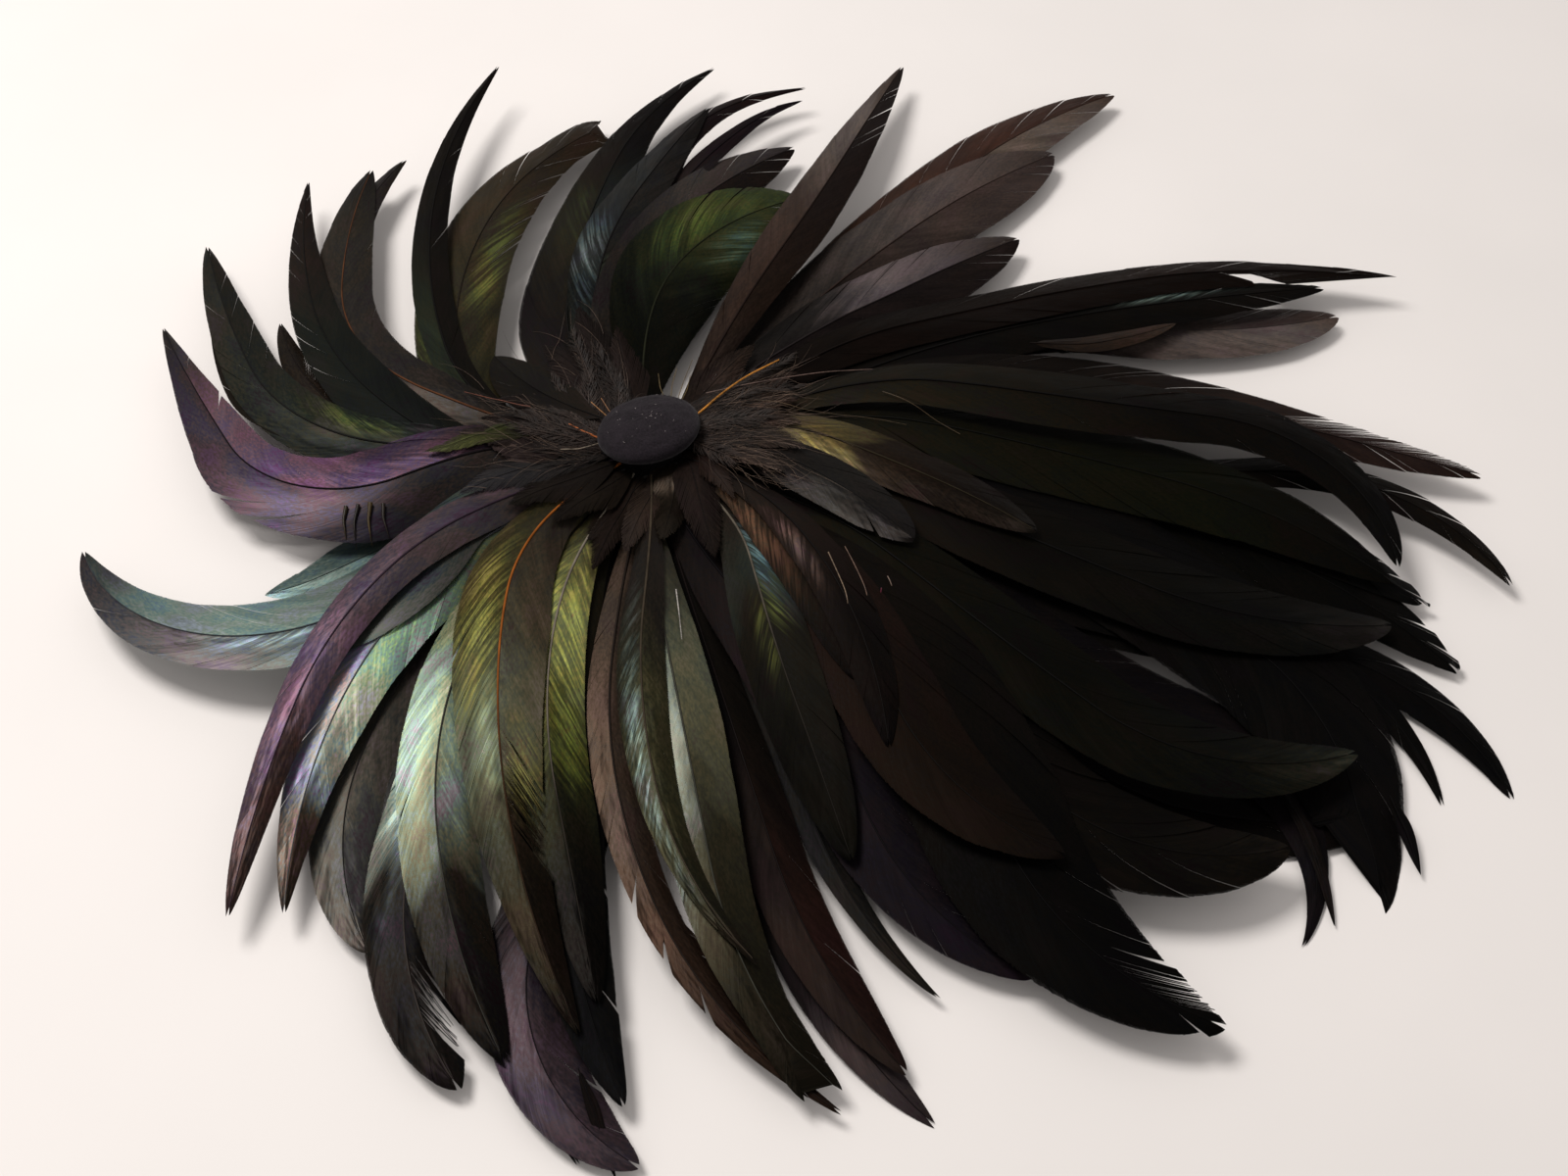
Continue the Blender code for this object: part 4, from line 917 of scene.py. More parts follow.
def clumps_of(roots, draw):
    """Barbs that stay together. For each barb: the middle of its clump, and how much the clump draws
    together, tips and lifts."""
    count = len(roots) - 1
    marks, spot = [], 0
    while spot < count:
        marks.append(spot)
        spot += int(draw.integers(*CLUMP_BARBS))
    clump = np.searchsorted(marks, np.arange(count), side="right") - 1
    bounds = np.array(marks + [count])
    middle = (roots[bounds[:-1]] + roots[bounds[1:]])[clump] / 2.0
    many = len(marks)
    squeeze = draw.uniform(0.0, 0.001, many)
    squeeze = squeeze + (draw.random(many) < 0.04) * draw.uniform(0.005, 0.02, many)
    tip = draw.normal(0.0, 0.03, many)
    lift = draw.normal(0.0, 0.04, many)
    return [column(values) for values in (middle, squeeze[clump], tip[clump], lift[clump])]


def barb_rows(sheet, side, draw, pitch):
    """One vane as ribbons: for every barb its two edges at the stations along it. Returns shares and side
    distances before and after the vane is ruffled, the height added, and each ribbon's root share."""
    looks, length = LOOKS[sheet.name], sheet.length
    count = int(length * (LAST_BARB - FIRST_BARB) / pitch)
    roots = np.linspace(FIRST_BARB, LAST_BARB, count + 1)
    near_tip = np.clip(8.0 * roots - 7.0, 0.0, 1.0)
    sweep = SWEEP[0] + (SWEEP[1] - SWEEP[0]) * roots ** 1.5 + TIP_SWEEP * near_tip ** 2
    base = sheet.shaft_side(roots) * side
    ends = barb_reach(sheet, roots, sweep, base)

    pair = np.stack((np.arange(count), np.arange(1, count + 1)), 1)
    root, lean, reach, start = (row[pair][:, :, None] for row in (roots, sweep, ends, base))
    centre = root.mean(axis=1, keepdims=True)
    places = centre[:, 0, 0]
    along = ALONG_BARB[None, None, :]
    plain = barb_path(sheet, root, lean, along * reach), start + along * reach

    # the edge runs a little in and out, and frayed barbs end short
    nick = blur(draw.normal(0.0, 0.03, count), 6.0) + draw.normal(0.0, 0.003, count)
    loose = column(zoned(looks["frays"], side, places, 0.0))
    kept = column(zoned(looks["trims"], side, places, 1.0))
    away = along * reach * (kept + column(nick) - loose * column(draw.uniform(0.0, 1.0, count)))
    share = barb_path(sheet, root, lean, away)

    # the barbs of a clump are drawn a little towards its middle, and tipped one way or the other
    middle, squeeze, tip, lift = clumps_of(roots, draw)
    share = share - (root - middle) * squeeze * along ** 1.5
    raised = (tip * (root - middle) * length * 0.6 + lift) * along ** 1.2

    # each barb rolls a little, and the next one overlaps it like a shingle
    roll = column(draw.normal(0.0, 0.003, count)) + 0.003
    edge = np.array((-1.0, 1.0))[None, :, None]
    raised = raised + roll * edge * np.sqrt(along)

    # splits push the barbs of both their sides apart, and loose barbs stray
    for where, at, gap, depth in looks["splits"]:
        if where == side:
            off = (centre - at) * length
            push = np.sign(off + 1e-9) * gap / 2.0 * np.exp(-np.abs(off) / (2.5 * gap + 4.0))
            share = share + push * np.clip((along - 1.0 + depth) / depth, 0.0, 1.0) ** 1.3 / length
    share = share + loose * column(draw.normal(0.0, 2.2, count)) * along ** 2 / length
    raised = raised + loose * column(draw.normal(0.0, 0.6, count)) * along ** 2

    # a ribbon swells on its way out and narrows at its end, and more so where it is loose
    middle_share = share.mean(axis=1, keepdims=True)
    narrow = np.interp(along, (0.0, ALONG_BARB[-2], 1.0), (1.0, BARB_SWELL, BARB_TIP))
    share = middle_share + (share - middle_share) * (narrow * (1.0 - 0.5 * loose * along))
    return plain, (share, start + away), raised, places


def shaft_tube(sheet):
    """The shaft as a thinning tube: its points, its faces, and its places in both layouts."""
    at = np.linspace(0.0, LAST_BARB, SHAFT_STATIONS)
    onto_prong = 0.001 * sheet.fork[2] if sheet.fork else 0.0
    moved, across = sheet.forked(at, sheet.shaft_side(at) - onto_prong)
    x, y = sheet.plan(moved, across)
    radius = (0.07 + 0.27 * (1.0 - at) ** 0.8) * min(1.0, 0.2 + sheet.length / 110.0)
    rings, quads = tube(np.stack((x, y, sheet.height(moved, across) + 0.35 * radius), -1), radius)
    strips = np.tile(V_SHAFT + np.arange(TUBE_SIDES) * V_STRIP, SHAFT_STATIONS)
    flat = np.stack((np.repeat(at / FLAT_LENGTHS, TUBE_SIDES), strips), -1)
    barb = np.stack((np.repeat(at, TUBE_SIDES), np.full(len(rings), 0.5)), -1)
    return rings, quads, flat, barb


def feather_mesh(name, sheet, materials, draw, pitch=PITCH):
    """A feather of two vanes, in the first material, and a shaft, in the second."""
    points, faces, choice, flat, barb = [], [], [], [], []
    wave = draw.uniform(0.0, 2.0 * math.pi, 2)[0]
    first = 0
    for side in (1, -1):
        plain, (share, away), raised, roots = barb_rows(sheet, side, draw, pitch)
        moved, across = sheet.forked(share, away * side)
        x, y = sheet.plan(moved, across)
        swing = np.sin(2.0 * math.pi * share * sheet.length / RUFFLE_LENGTH + wave)
        ruffle = RUFFLE * swing * (np.abs(away) / sheet.widest) ** 2 * smooth(3.0 * share - 1.5)
        z = np.maximum(sheet.height(moved, across) + raised + ruffle, LOWEST_BARB)
        points.append(np.stack((x, y, z), -1).reshape(-1, 3))
        quads = ribbon_faces(first, len(roots), len(ALONG_BARB), side < 0)
        faces.append(quads)
        choice.append(np.zeros(len(quads)))
        u = np.clip(plain[0], 0.0, FLAT_LAST) / FLAT_LENGTHS
        v = V_MIDDLE + V_HALF * side * np.clip(plain[1] / (V_REACH * sheet.widest), -0.1, 1.0)
        flat.append(np.stack((u, v), -1).reshape(-1, 2))
        root = np.broadcast_to(column(roots), share.shape)
        along = np.broadcast_to(ALONG_BARB[None, None, :], share.shape)
        barb.append(np.stack((root, 0.5 + 0.5 * side * along), -1).reshape(-1, 2))
        first += share.size
    rings, quads, shaft_flat, shaft_barb = shaft_tube(sheet)
    points.append(rings)
    faces.append(quads + first)
    choice.append(np.ones(len(quads)))
    layers = ("OFBake", np.concatenate(flat + [shaft_flat])), ("barb", np.concatenate(barb + [shaft_barb]))
    return add_mesh(name, np.concatenate(points), np.concatenate(faces), materials, np.concatenate(choice),
                    layers)


class Nodes:
    """Short ways to build a material's node tree."""

    def __init__(self, name):
        self.made = bpy.data.materials.new(name)
        self.made.use_nodes = True
        self.tree = self.made.node_tree
        self.shader = self.tree.nodes["Principled BSDF"]

    def add(self, kind, inputs=(), **settings):
        made = self.tree.nodes.new(kind)
        for key, value in settings.items():
            setattr(made, key, value)
        for index, value in dict(inputs).items():
            self.put(made.inputs[index], value)
        return made

    def put(self, socket, value):
        if isinstance(value, bpy.types.NodeSocket):
            self.tree.links.new(value, socket)
        else:
            socket.default_value = value

    def maths(self, operation, *values, clamp=False):
        made = self.add("ShaderNodeMath", dict(enumerate(values)), operation=operation)
        made.use_clamp = clamp
        return made.outputs[0]

    def mix(self, share, one, other, blend="MIX"):
        made = self.add("ShaderNodeMix", data_type="RGBA", blend_type=blend)
        for socket, value in zip((made.inputs[0], made.inputs[6], made.inputs[7]), (share, one, other)):
            self.put(socket, value)
        return made.outputs[2]

    def ramp(self, value, stops):
        made = self.add("ShaderNodeValToRGB", {0: value})
        band = made.color_ramp
        while len(band.elements) < len(stops):
            band.elements.new(0.5)
        for element, (at, *colour) in zip(band.elements, stops):
            element.position = at
            element.color = linear(colour)
        return made.outputs[0]

    def layout(self, name):
        """The two values of a named layout."""
        place = self.add("ShaderNodeUVMap", uv_map=name).outputs[0]
        return self.add("ShaderNodeSeparateXYZ", {0: place}).outputs[:2]

    def grain(self, x, y, x_scale, y_scale, shift, detail):
        """Noise stretched over two values, from 0 to 1."""
        x, y = self.maths("MULTIPLY", x, x_scale), self.maths("MULTIPLY", y, y_scale)
        return self.noise(self.add("ShaderNodeCombineXYZ", {0: x, 1: y, 2: shift}).outputs[0], 1.0, detail)

    def cloud(self, scale, detail):
        """Noise through the piece, from 0 to 1, its scale a number of waves in a metre."""
        return self.noise(self.add("ShaderNodeTexCoord").outputs["Object"], scale, detail)

    def noise(self, place, scale, detail):
        return self.add("ShaderNodeTexNoise", {"Vector": place, "Scale": scale, "Detail": detail}).outputs[0]

    def spread(self, value, low, high, to_low, to_high):
        made = self.add("ShaderNodeMapRange", {0: value, 1: low, 2: high, 3: to_low, 4: to_high})
        return made.outputs[0]

    def bump(self, height, strength, distance):
        made = self.add("ShaderNodeBump", {"Height": height, "Strength": strength, "Distance": distance * MM})
        self.put(self.shader.inputs["Normal"], made.outputs[0])

    def finish(self, colour, roughness, specular, metallic=0.0):
        self.put(self.shader.inputs["Base Color"], colour)
        self.put(self.shader.inputs["Roughness"], roughness)
        self.shader.inputs["Metallic"].default_value = metallic
        self.shader.inputs["Specular IOR Level"].default_value = specular
        return self.made


def add_painted_highlights(n, colour, painted_highlights, mixed, root, out, is_left, length, seed):
    """The colour with glints, which are painted highlights: soft bright spots of painted sheen on the vane,
    broken up into fine streaks along the barbs.
    """
    for index, (side, at, spread, at_out, spread_out, shade, strength) in enumerate(painted_highlights):
        along = n.maths("POWER", n.maths("DIVIDE", n.maths("SUBTRACT", mixed, at), spread), 2.0)
        outward = n.maths("POWER", n.maths("DIVIDE", n.maths("SUBTRACT", out, at_out), spread_out), 2.0)
        mask = n.maths("EXPONENT", n.maths("MULTIPLY", n.maths("ADD", along, outward), -1.0))
        if side:
            mask = n.maths("MULTIPLY", mask, is_left if side > 0 else n.maths("SUBTRACT", 1.0, is_left))
        fine = n.grain(root, out, length / BREAK_SIZE, 1.3, seed + 3.1 * (index + 1), 2.0)
        mask = n.maths("MULTIPLY", mask, n.spread(fine, 0.44, 0.62, 0.1, 1.0))
        colour = n.mix(n.maths("MULTIPLY", mask, strength, clamp=True), colour, linear(shade))
    return colour


def vane_material(name, looks, length, widest, seed):
    """Satin vane: colour along the feather on each side, finely mottled, its hue shimmering in soft patches,
    with painted highlights (glints) of its own."""
    n = Nodes(name)
    root, across = n.layout("barb")
    u, v = n.layout("OFBake")
    share = n.maths("MULTIPLY", u, FLAT_LENGTHS)
    out = n.maths("ABSOLUTE", n.maths("MULTIPLY_ADD", across, 2.0, -1.0))
    is_left = n.maths("GREATER_THAN", across, 0.5)

    # noise of four sizes: streaks along the barbs, their clumps, fine mottling and broad patches
    wide = V_REACH * widest / V_HALF
    streak = n.grain(root, out, length / STREAK_SIZE, 1.2, seed, 1.0)
    clump = n.grain(root, across, length / CLUMP_SIZE, 3.0, seed + 7.3, 2.0)
    mottle = n.grain(share, v, length / MOTTLE_SIZE[0], wide / MOTTLE_SIZE[1], seed + 2.9, 3.0)
    patch = n.grain(share, v, length / PATCH_SIZE[0], wide / PATCH_SIZE[1], seed + 5.7, 2.0)

    # colours along the feather, partly by where a barb starts, with uneven borders
    mixed = n.maths("MULTIPLY_ADD", root, 0.45, n.maths("MULTIPLY", share, 0.55))
    for wobble, amount in ((clump, 0.13), (streak, 0.03), (patch, 0.12)):
        mixed = n.maths("MULTIPLY_ADD", n.maths("SUBTRACT", wobble, 0.5), amount, mixed)
    colour = n.mix(is_left, n.ramp(mixed, looks["right"]), n.ramp(mixed, looks["left"]))
    # painted highlights: bright spots of painted sheen laid into the vane's colour
    colour = add_painted_highlights(n, colour, looks["painted_highlights"], mixed, root, out, is_left, length, seed)

    # a hue that shimmers
    shimmer = n.maths("MULTIPLY_ADD", mottle, 0.4, n.maths("MULTIPLY", patch, 0.6))
    hue = n.ramp(n.spread(shimmer, 0.36, 0.64, 0.0, 1.0), HUES)
    hue = n.mix(1.0, hue, (HUE_GAIN, HUE_GAIN, HUE_GAIN, 1.0), "MULTIPLY")
    colour = n.mix(looks["play"], colour, n.mix(1.0, colour, hue, "MULTIPLY"))

    # lighter and darker streaks, clumps, mottles and patches
    bright = n.spread(streak, 0.3, 0.7, 0.9, 1.1)
    swing = 0.08 * looks["streaks"]
    for value, low, high in ((clump, 1.0 - swing, 1.0 + swing), (mottle, 0.84, 1.16), (patch, 0.9, 1.1)):
        bright = n.maths("MULTIPLY", bright, n.spread(value, 0.32, 0.68, low, high))
    grey = n.add("ShaderNodeCombineColor", {0: bright, 1: bright, 2: bright}).outputs[0]
    colour = n.mix(1.0, colour, grey, "MULTIPLY")

    wave = n.grain(root, out, length / WAVE_SIZE, 1.5, seed + 9.1, 2.0)
    n.bump(n.maths("MULTIPLY_ADD", streak, 0.06, wave), 1.0, 0.4)
    middle = [stops[len(stops) // 2] for stops in (looks["left"], looks["right"])]
    dull = DULLER if sum(sum(stop[1:]) for stop in middle) < DARK_VANES else 0.0
    rough = n.spread(mottle, 0.3, 0.7, VANE_ROUGH[0] + dull, VANE_ROUGH[1] + dull)
    return n.finish(colour, rough, 0.02, VANE_METAL)


def shaft_material(name, colour, seed):
    """A shaft of one colour, or of stops along the feather as on the vanes."""
    n = Nodes(name)
    u, v = n.layout("OFBake")
    grain = n.grain(u, v, 40.0, 30.0, seed, 3.0)
    if isinstance(colour[0], tuple):
        light = n.ramp(n.maths("MULTIPLY", u, FLAT_LENGTHS), colour)
    else:
        light = linear(colour)
    dark = n.mix(1.0, light, (0.55, 0.55, 0.55, 1.0), "MULTIPLY")
    shade = n.mix(n.spread(grain, 0.3, 0.7, 0.0, 1.0), dark, light)
    return n.finish(shade, n.spread(grain, 0.3, 0.7, 0.5, 0.65), 0.05)


def felt_material(name):
    """Matt wool: fine mottled tones, with a faint sheen where the nap stands up."""
    n = Nodes(name)
    dark, light, grain_size = FELTS[name]
    fine = n.cloud(1.0 / (grain_size * MM), 4.0)
    tone = n.maths("MULTIPLY_ADD", fine, 0.7, n.maths("MULTIPLY", n.cloud(220.0, 2.0), 0.3))
    colour = n.mix(n.spread(tone, 0.38, 0.62, 0.0, 1.0), linear(dark), linear(light))
    n.bump(fine, 0.5, 0.2)
    n.shader.inputs["Sheen Weight"].default_value = 0.08
    n.shader.inputs["Sheen Roughness"].default_value = 0.5
    return n.finish(colour, n.spread(fine, 0.3, 0.7, 0.85, 0.98), 0.05)


def hair_material(name, dark, light, roughness):
    """Fine hair or bare quill, its tone drifting from strand to strand."""
    n = Nodes(name)
    fine = n.cloud(1900.0, 2.0)
    tone = n.maths("MULTIPLY_ADD", fine, 0.5, n.maths("MULTIPLY", n.cloud(260.0, 2.0), 0.5))
    colour = n.mix(n.spread(tone, 0.38, 0.62, 0.0, 1.0), linear(dark), linear(light))
    return n.finish(colour, n.spread(fine, 0.3, 0.7, roughness - 0.08, roughness + 0.1), 0.2)


def dressed(name, label, sheet, index, starts, pitch=PITCH):
    """A feather's mesh in its own vane and shaft materials, with draws and noise of its own."""
    looks, (draws, vane_noise, shaft_noise) = LOOKS[name], starts
    vane = vane_material("vane_" + name, looks, sheet.length, sheet.widest, vane_noise + 11.7 * index)
    shaft = shaft_material("shaft_" + name, looks["shaft"], shaft_noise + 5.1 * index)
    return feather_mesh(label, sheet, (vane, shaft), np.random.default_rng(draws + index), pitch)


def add_feathers():
    for index, name in enumerate(PLAN):
        node = "feather_" + name
        sheet = Sheet(name)
        sheet.read_heights(tree_of([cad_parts[node]]))
        piece = dressed(name, "barbs_" + name, sheet, index, FEATHER_STARTS)
        own(piece, node)


def add_slips():
    for index, (name, shape) in enumerate(SLIPS.items()):
        own(dressed(name, name, Slip(name, *shape), index, SLIP_STARTS))


def add_covers(field):
    """Soft vanes laid over the roots, each a little higher than the one before."""
    made = []
    for index, (name, (width, end, blunt, _, points)) in enumerate(COVERS.items()):
        hidden_root = tuple(0.72 * value for value in points[0])
        rows = np.array((hidden_root,) + points, dtype=float)
        run = run_of(rows)
        at = np.linspace(0.0, run[-1], 13)
        x, y = (blur(np.interp(at, run, row), 0.8) for row in rows.T)
        turn = np.arctan2(np.gradient(y), np.gradient(x))
        z = np.max([resting(field, x - side * np.sin(turn), y + side * np.cos(turn))
                    for side in (-0.36 * width, -0.18 * width, 0.0, 0.18 * width, 0.36 * width)], axis=0)
        line = np.stack((x, y, z + 0.35 + 0.03 * index), -1)
        sheet = Slip(name, width, COVER_PEAK, end, blunt, line, start=0.32)
        made.append(own(dressed(name, name, sheet, index, COVER_STARTS, COVER_PITCH)))
    return made


def height_field(pieces):
    """Heights of whatever lies on top round the middle, in steps of a millimetre, softened a little."""
    tree = tree_of(pieces)
    steps = np.arange(-FIELD, FIELD + 1)
    rows = np.array([[top_of(tree, float(x), float(y)) for y in steps] for x in steps])
    far = np.hypot(steps[:, None], steps[None, :])
    rows = np.where(np.isfinite(rows), rows, np.clip(11.0 - 0.12 * far, 4.0, 11.0))
    padded = np.pad(rows, 1, mode="edge")
    high = np.max([padded[a:a + len(steps), b:b + len(steps)] for a in range(3) for b in range(3)], axis=0)
    soft = np.apply_along_axis(lambda row: blur(row, 1.0), 0, high)
    return np.maximum(np.apply_along_axis(lambda row: blur(row, 1.0), 1, soft), rows)


def resting(field, x, y):
    """Height of the field at places, between its steps."""
    x = np.clip(x + FIELD, 0.0, 2 * FIELD - 1.001)
    y = np.clip(y + FIELD, 0.0, 2 * FIELD - 1.001)
    a, b = x.astype(int), y.astype(int)
    u, v = x - a, y - b
    return (field[a, b] * (1 - u) * (1 - v) + field[a + 1, b] * u * (1 - v) + field[a, b + 1] * (1 - u) * v
            + field[a + 1, b + 1] * u * v)


@np.vectorize
def swirl(angle):
    """How far, in degrees, the down leans off the radius: to the right of it, most at the upper left."""
    return -12.0 - 26.0 * math.exp(-((math.degrees(angle) % 360.0 - 150.0) / 55.0) ** 2)


def allowed(x, y):
    """False over the gap behind the button where the bare table shows."""
    angle = np.degrees(np.arctan2(y, x)) % 360.0
    return ~((angle > GAP_ANGLES[0]) & (angle < GAP_ANGLES[1]) & (np.hypot(x, y) > GAP_FROM))


def spots(draw, count, near, far, sectors):
    """Angles and places of roots in some sectors, closer together near the button."""
    middles, spreads, weights = (np.array(row, dtype=float) for row in zip(*sectors))
    which = draw.choice(len(sectors), count, p=weights / weights.sum())
    angle = np.radians(middles[which] + spreads[which] * draw.uniform(-1.0, 1.0, count))
    out = near + (far - near) * draw.beta(1.1, 2.0, count)
    return angle, np.stack((out * np.cos(angle), out * np.sin(angle)), -1)


def downy(field, roots, headings, lengths, curls, lifts, stations=5):
    """Lines for hairs that start at places, head off and curl, and lie on what is under them."""
    at = np.linspace(0.0, 1.0, stations)
    turn = headings[:, None] + curls[:, None] * at[None, :]
    step = lengths[:, None] / (stations - 1)
    still = np.zeros((len(roots), 1))
    x = roots[:, :1] + np.concatenate((still, np.cumsum(np.cos(turn[:, :-1]) * step, axis=1)), 1)
    y = roots[:, 1:] + np.concatenate((still, np.cumsum(np.sin(turn[:, :-1]) * step, axis=1)), 1)
    arch = np.sin(math.pi * np.clip(0.15 + 0.75 * at, 0.0, 1.0))[None, :]
    z = resting(field, x, y) + 0.15 + lifts[:, None] * arch
    return np.stack((x, y, z), -1)[allowed(x, y).all(axis=1)]


def add_down(field, draw):
    """Layers of brown down, its hairs in clumps."""
    for name, (dark, light, count, (near, far), (low, high), width, lift) in DOWN_LAYERS.items():
        angle, roots = spots(draw, count, near, far, DOWN_SECTORS)
        clumps = 0.35 * np.sin(9.0 * angle + 1.3) + 0.25 * np.sin(23.0 * angle)
        headings = angle + np.radians(swirl(angle)) + clumps + draw.normal(0.0, 0.22, count)
        lines = downy(field, roots, headings, draw.uniform(low, high, count), draw.normal(-0.3, 0.55, count),
                      lift * draw.uniform(0.1, 1.0, count))
        made = hair_material(name, dark, light, DOWN_ROUGH)
        strands(name, lines, width * draw.uniform(0.6, 1.3, len(lines)), made)


def add_tufts(field, draw):
    """Small downy feathers: a fine shaft with loose barbs to both sides."""
    barbs, shafts = [], []
    for turn, root in zip(*spots(draw, TUFTS, 9.0, 27.0, TUFT_SECTORS)):
        length = draw.uniform(12.0, 24.0)
        reach = draw.uniform(2.6, 4.6)
        heading = turn + math.radians(swirl(turn)) + draw.normal(0.0, 0.25)
        curl = draw.normal(-0.25, 0.3)
        headings, lengths, curls, lifts = (np.array([value]) for value in (heading, length, curl, 0.9))
        line = downy(field, root[None, :], headings, lengths, curls, lifts, TUFT_STATIONS)
        if not len(line):
            continue
        shafts.append(line[0])
        for side in (1.0, -1.0):
            share = np.sort(draw.uniform(0.06, 0.99, TUFT_BARBS))
            at = np.linspace(0.0, 1.0, TUFT_STATIONS)
            starts = np.stack([np.interp(share, at, line[0][:, axis]) for axis in range(2)], -1)
            lean = heading + curl * share + side * (0.85 - 0.35 * share)
            belly = np.sin(math.pi * np.clip(share * 0.86 + 0.07, 0.0, 1.0))
            size = reach * np.sqrt(np.maximum(belly, 0.05))
            barbs.append(downy(field, starts, lean + draw.normal(0.0, 0.10, TUFT_BARBS),
                               size * 1.5 * draw.uniform(0.8, 1.1, TUFT_BARBS),
                               -side * draw.uniform(0.3, 0.8, TUFT_BARBS),
                               0.5 + 0.5 * draw.random(TUFT_BARBS)))
    for name, rows in zip(("tuft_brown", "tuft_grey"), np.array_split(np.concatenate(barbs), 2)):
        made = hair_material(name, *HAIR_TONES[name])
        strands(name, rows, 0.20 * draw.uniform(0.7, 1.2, len(rows)), made)
    made = hair_material("tuft_shafts", *HAIR_TONES["tuft_shafts"])
    strands("tuft_shafts", np.array(shafts), np.full(len(shafts), 0.22), made)


def add_hairs(field, draw):
    """Single hairs, long and fine, over the feathers to the right and the left."""
    angle, roots = spots(draw, HAIRS, 12.0, 44.0, HAIR_SECTORS)
    headings = angle + 0.6 * np.radians(swirl(angle)) + draw.normal(0.0, 0.3, HAIRS)
    lines = downy(field, roots, headings, draw.uniform(6.0, 17.0, HAIRS), draw.normal(0.0, 0.5, HAIRS),
                  0.6 * draw.random(HAIRS), 7)
    made = hair_material("down_hairs", *HAIR_TONES["down_hairs"])
    strands("down_hairs", lines, 0.09 * draw.uniform(0.7, 1.3, len(lines)), made)


def add_quills(field):
    """Bare quills, lifted onto what lies under them near the middle."""
    for name, (start, end, colour, points) in QUILLS.items():
        rows = np.array(points, dtype=float)
        run = run_of(rows)
        at = np.linspace(0.0, run[-1], 25)
        x, y, z = (blur(np.interp(at, run, row), 1.6) for row in rows.T)
        on_field = np.hypot(x, y) < FIELD - 2
        z = blur(np.where(on_field, np.maximum(resting(field, x, y) + 0.7, z - 3.0), z), 1.5)
        rings, quads = tube(np.stack((x, y, z), -1), np.linspace(start, end, 25))
        dark = tuple(0.62 * value for value in colour)
        own(add_mesh(name, rings, quads, (hair_material(name, dark, colour, QUILL_ROUGH),)))


def add_middle():
    """What lies over the roots of the feathers: soft vanes, down, tufts, hairs and bare quills."""
    pieces = [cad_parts["feather_" + name] for name in PLAN] + [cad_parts["backing_pad"]]
    field = height_field(pieces + add_covers(height_field(pieces)))
    draw = np.random.default_rng(DOWN_START)
    add_down(field, draw)
    add_tufts(field, draw)
    add_hairs(field, draw)
    add_quills(field)


def button_axes():
    """The button's middle at its base, and its three directions."""
    lean = math.radians(BUTTON_LEAN)
    turn = math.radians(BUTTON_LEAN_HEADING)
    toward = np.array((math.cos(turn), math.sin(turn), 0.0))
    up = toward * math.sin(lean) + np.array((0.0, 0.0, math.cos(lean)))
    ahead = toward * math.cos(lean) - np.array((0.0, 0.0, math.sin(lean)))
    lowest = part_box("button")[0][2] / MM
    base = lowest + BUTTON_PROFILE[0][0] * math.sin(lean)
    return np.array((0.0, 0.0, base)), ahead, np.cross(up, ahead), up


def button_outline():
    """Radius and height of the button's rings, from the middle of its underside round to its top."""
    radius, height = (np.array(row) for row in zip(*BUTTON_PROFILE))
    run = np.concatenate(((0.0,), np.cumsum(np.hypot(np.diff(radius), np.diff(height)))))
    fine = np.linspace(0.0, run[-1], BUTTON_RINGS)
    radius = blur(np.interp(fine, run, radius), 1.6)
    height = blur(np.interp(fine, run, height), 1.6)
    radius[-1] = 0.0
    radius = np.concatenate(((BUTTON_TIP,), np.maximum(radius, BUTTON_TIP)))
    return radius, np.concatenate(((height[0],), height))


def button_skin(radius, height, base, ahead, across, up):
    """Points of the button's rings, its padding softly uneven."""
    points = []
    for r, h in zip(radius, height):
        for angle in np.arange(BUTTON_SIDES) * 2.0 * math.pi / BUTTON_SIDES:
            x, y = r * math.cos(angle), r * math.sin(angle)
            spot = Vector((x, y, h))
            soft = sum(amount * noise.noise(spot * fineness) for amount, fineness in BUTTON_UNEVEN)
            grow = 1.0 + soft * 0.6 / 12.0
            rise = h + soft * min(1.0, h / 2.0)
            points.append(base + (x * grow) * ahead + (y * grow) * across + rise * up)
    return np.array(points).reshape(len(radius), BUTTON_SIDES, 3)


def add_nap(places, radius, base, up, draw):
    """Short fibres that stand out of the felt."""
    ring = draw.integers(6, len(radius) - 1, NAP_HAIRS)
    turn = draw.integers(0, BUTTON_SIDES, NAP_HAIRS)
    keep = draw.random(NAP_HAIRS) < radius[ring] / radius.max()
    root = places[ring[keep], turn[keep]]
    out = unit(root - (base + 2.0 * up)) * 0.35 + up * 0.25
    aim = unit(out + 0.9 * draw.normal(0.0, 1.0, out.shape))
    reach = draw.uniform(0.25, 0.8, len(root))[:, None]
    bend = draw.normal(0.0, 0.25, out.shape)
    line = np.stack([root + aim * reach * part + bend * reach * part * part for part in (0.0, 0.5, 1.0)], 1)
    strands("button_nap", line, np.full(len(root), 0.045), felt_material("button_nap"))


def add_lint(places, up, draw):
    """A few pale fibres of lint that lie on the felt."""
    rings = len(places)
    ring = draw.integers(rings - 40, rings - 4, LINT_HAIRS)
    turn = draw.integers(0, BUTTON_SIDES, LINT_HAIRS)
    root = places[ring, turn] + 0.03 * up
    aim = draw.normal(0.0, 1.0, root.shape)
    aim -= (aim @ up)[:, None] * up
    aim = unit(aim)
    line = np.stack([root + aim * part for part in (0.0, 0.25, 0.5)], 1)
    strands("button_lint", line, np.full(LINT_HAIRS, 0.10), felt_material("button_lint"))


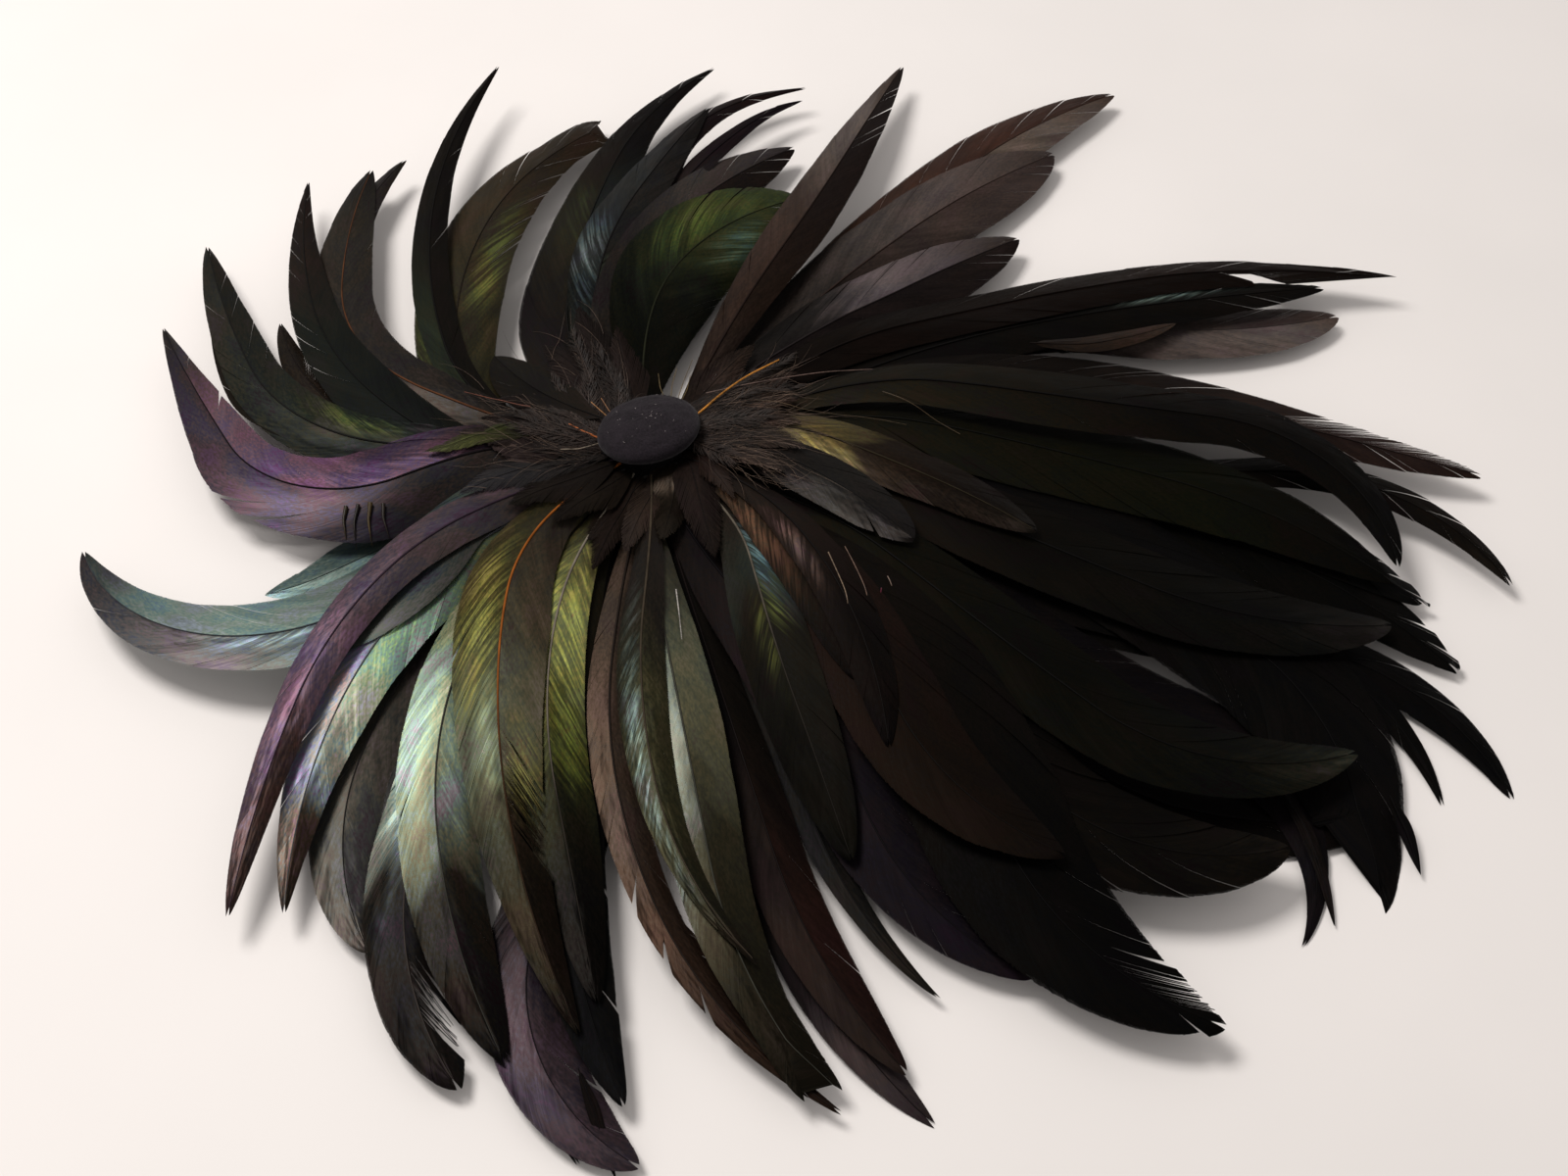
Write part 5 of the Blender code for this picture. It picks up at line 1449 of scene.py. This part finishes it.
def add_button():
    """A disc padded and covered with wool felt, with nap and lint on it."""
    base, ahead, across, up = button_axes()
    radius, height = button_outline()
    places = button_skin(radius, height, base, ahead, across, up)
    faces = ring_faces(len(radius), BUTTON_SIDES)
    cover = add_mesh("button_cover", places.reshape(-1, 3), faces, (felt_material("button_felt"),))
    own(cover, "button")
    draw = np.random.default_rng(BUTTON_START)
    add_nap(places, radius, base, up, draw)
    add_lint(places, up, draw)


def add_pad():
    """The pad keeps its solid and gets a felt finish."""
    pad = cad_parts["backing_pad"]
    pad.data.materials.clear()
    pad.data.materials.append(felt_material("pad_felt"))


def add_table():
    """A wide, plain, pale table top with the faintest mottling."""
    bpy.ops.mesh.primitive_plane_add(size=TABLE_SIDE, location=(0.0, 0.0, 0.0))
    table = bpy.context.object
    table.name = "table_top"
    n = Nodes("table_top")
    cloud = n.cloud(9.0, 4.0)
    colour = n.mix(n.spread(cloud, 0.35, 0.65, 0.0, 1.0), *TABLE_TONES)
    table.data.materials.append(n.finish(colour, n.spread(cloud, 0.3, 0.7, 0.55, 0.65), 0.2))


def add_light():
    """One soft lamp, and a room that gives an even light."""
    data = bpy.data.lights.new("ceiling_lamp", "AREA")
    data.shape = "DISK"
    data.size = LAMP_SIZE
    data.energy = LAMP_POWER
    data.color = LAMP_COLOUR
    lamp = bpy.data.objects.new("ceiling_lamp", data)
    lamp.location = LAMP_AT
    lamp.rotation_euler = (Vector(LAMP_AIM) - Vector(LAMP_AT)).to_track_quat("-Z", "Y").to_euler()
    bpy.context.scene.collection.objects.link(lamp)
    world = bpy.data.worlds.new("room")
    world.use_nodes = True
    background = world.node_tree.nodes["Background"]
    background.inputs[0].default_value = ROOM_COLOUR
    background.inputs[1].default_value = ROOM_STRENGTH
    bpy.context.scene.world = world
    bpy.context.scene.view_settings.view_transform = "Standard"


def add_camera():
    data = bpy.data.cameras.new("camera")
    data.lens = CAMERA_LENS
    data.sensor_width = CAMERA_SENSOR
    camera = bpy.data.objects.new("camera", data)
    camera.location = [value * MM for value in CAMERA_AT]
    camera.rotation_euler = [math.radians(value) for value in CAMERA_TURN]
    bpy.context.scene.collection.objects.link(camera)
    bpy.context.scene.camera = camera


add_camera()
add_light()
add_table()
add_pad()
add_feathers()
add_slips()
add_button()
add_middle()
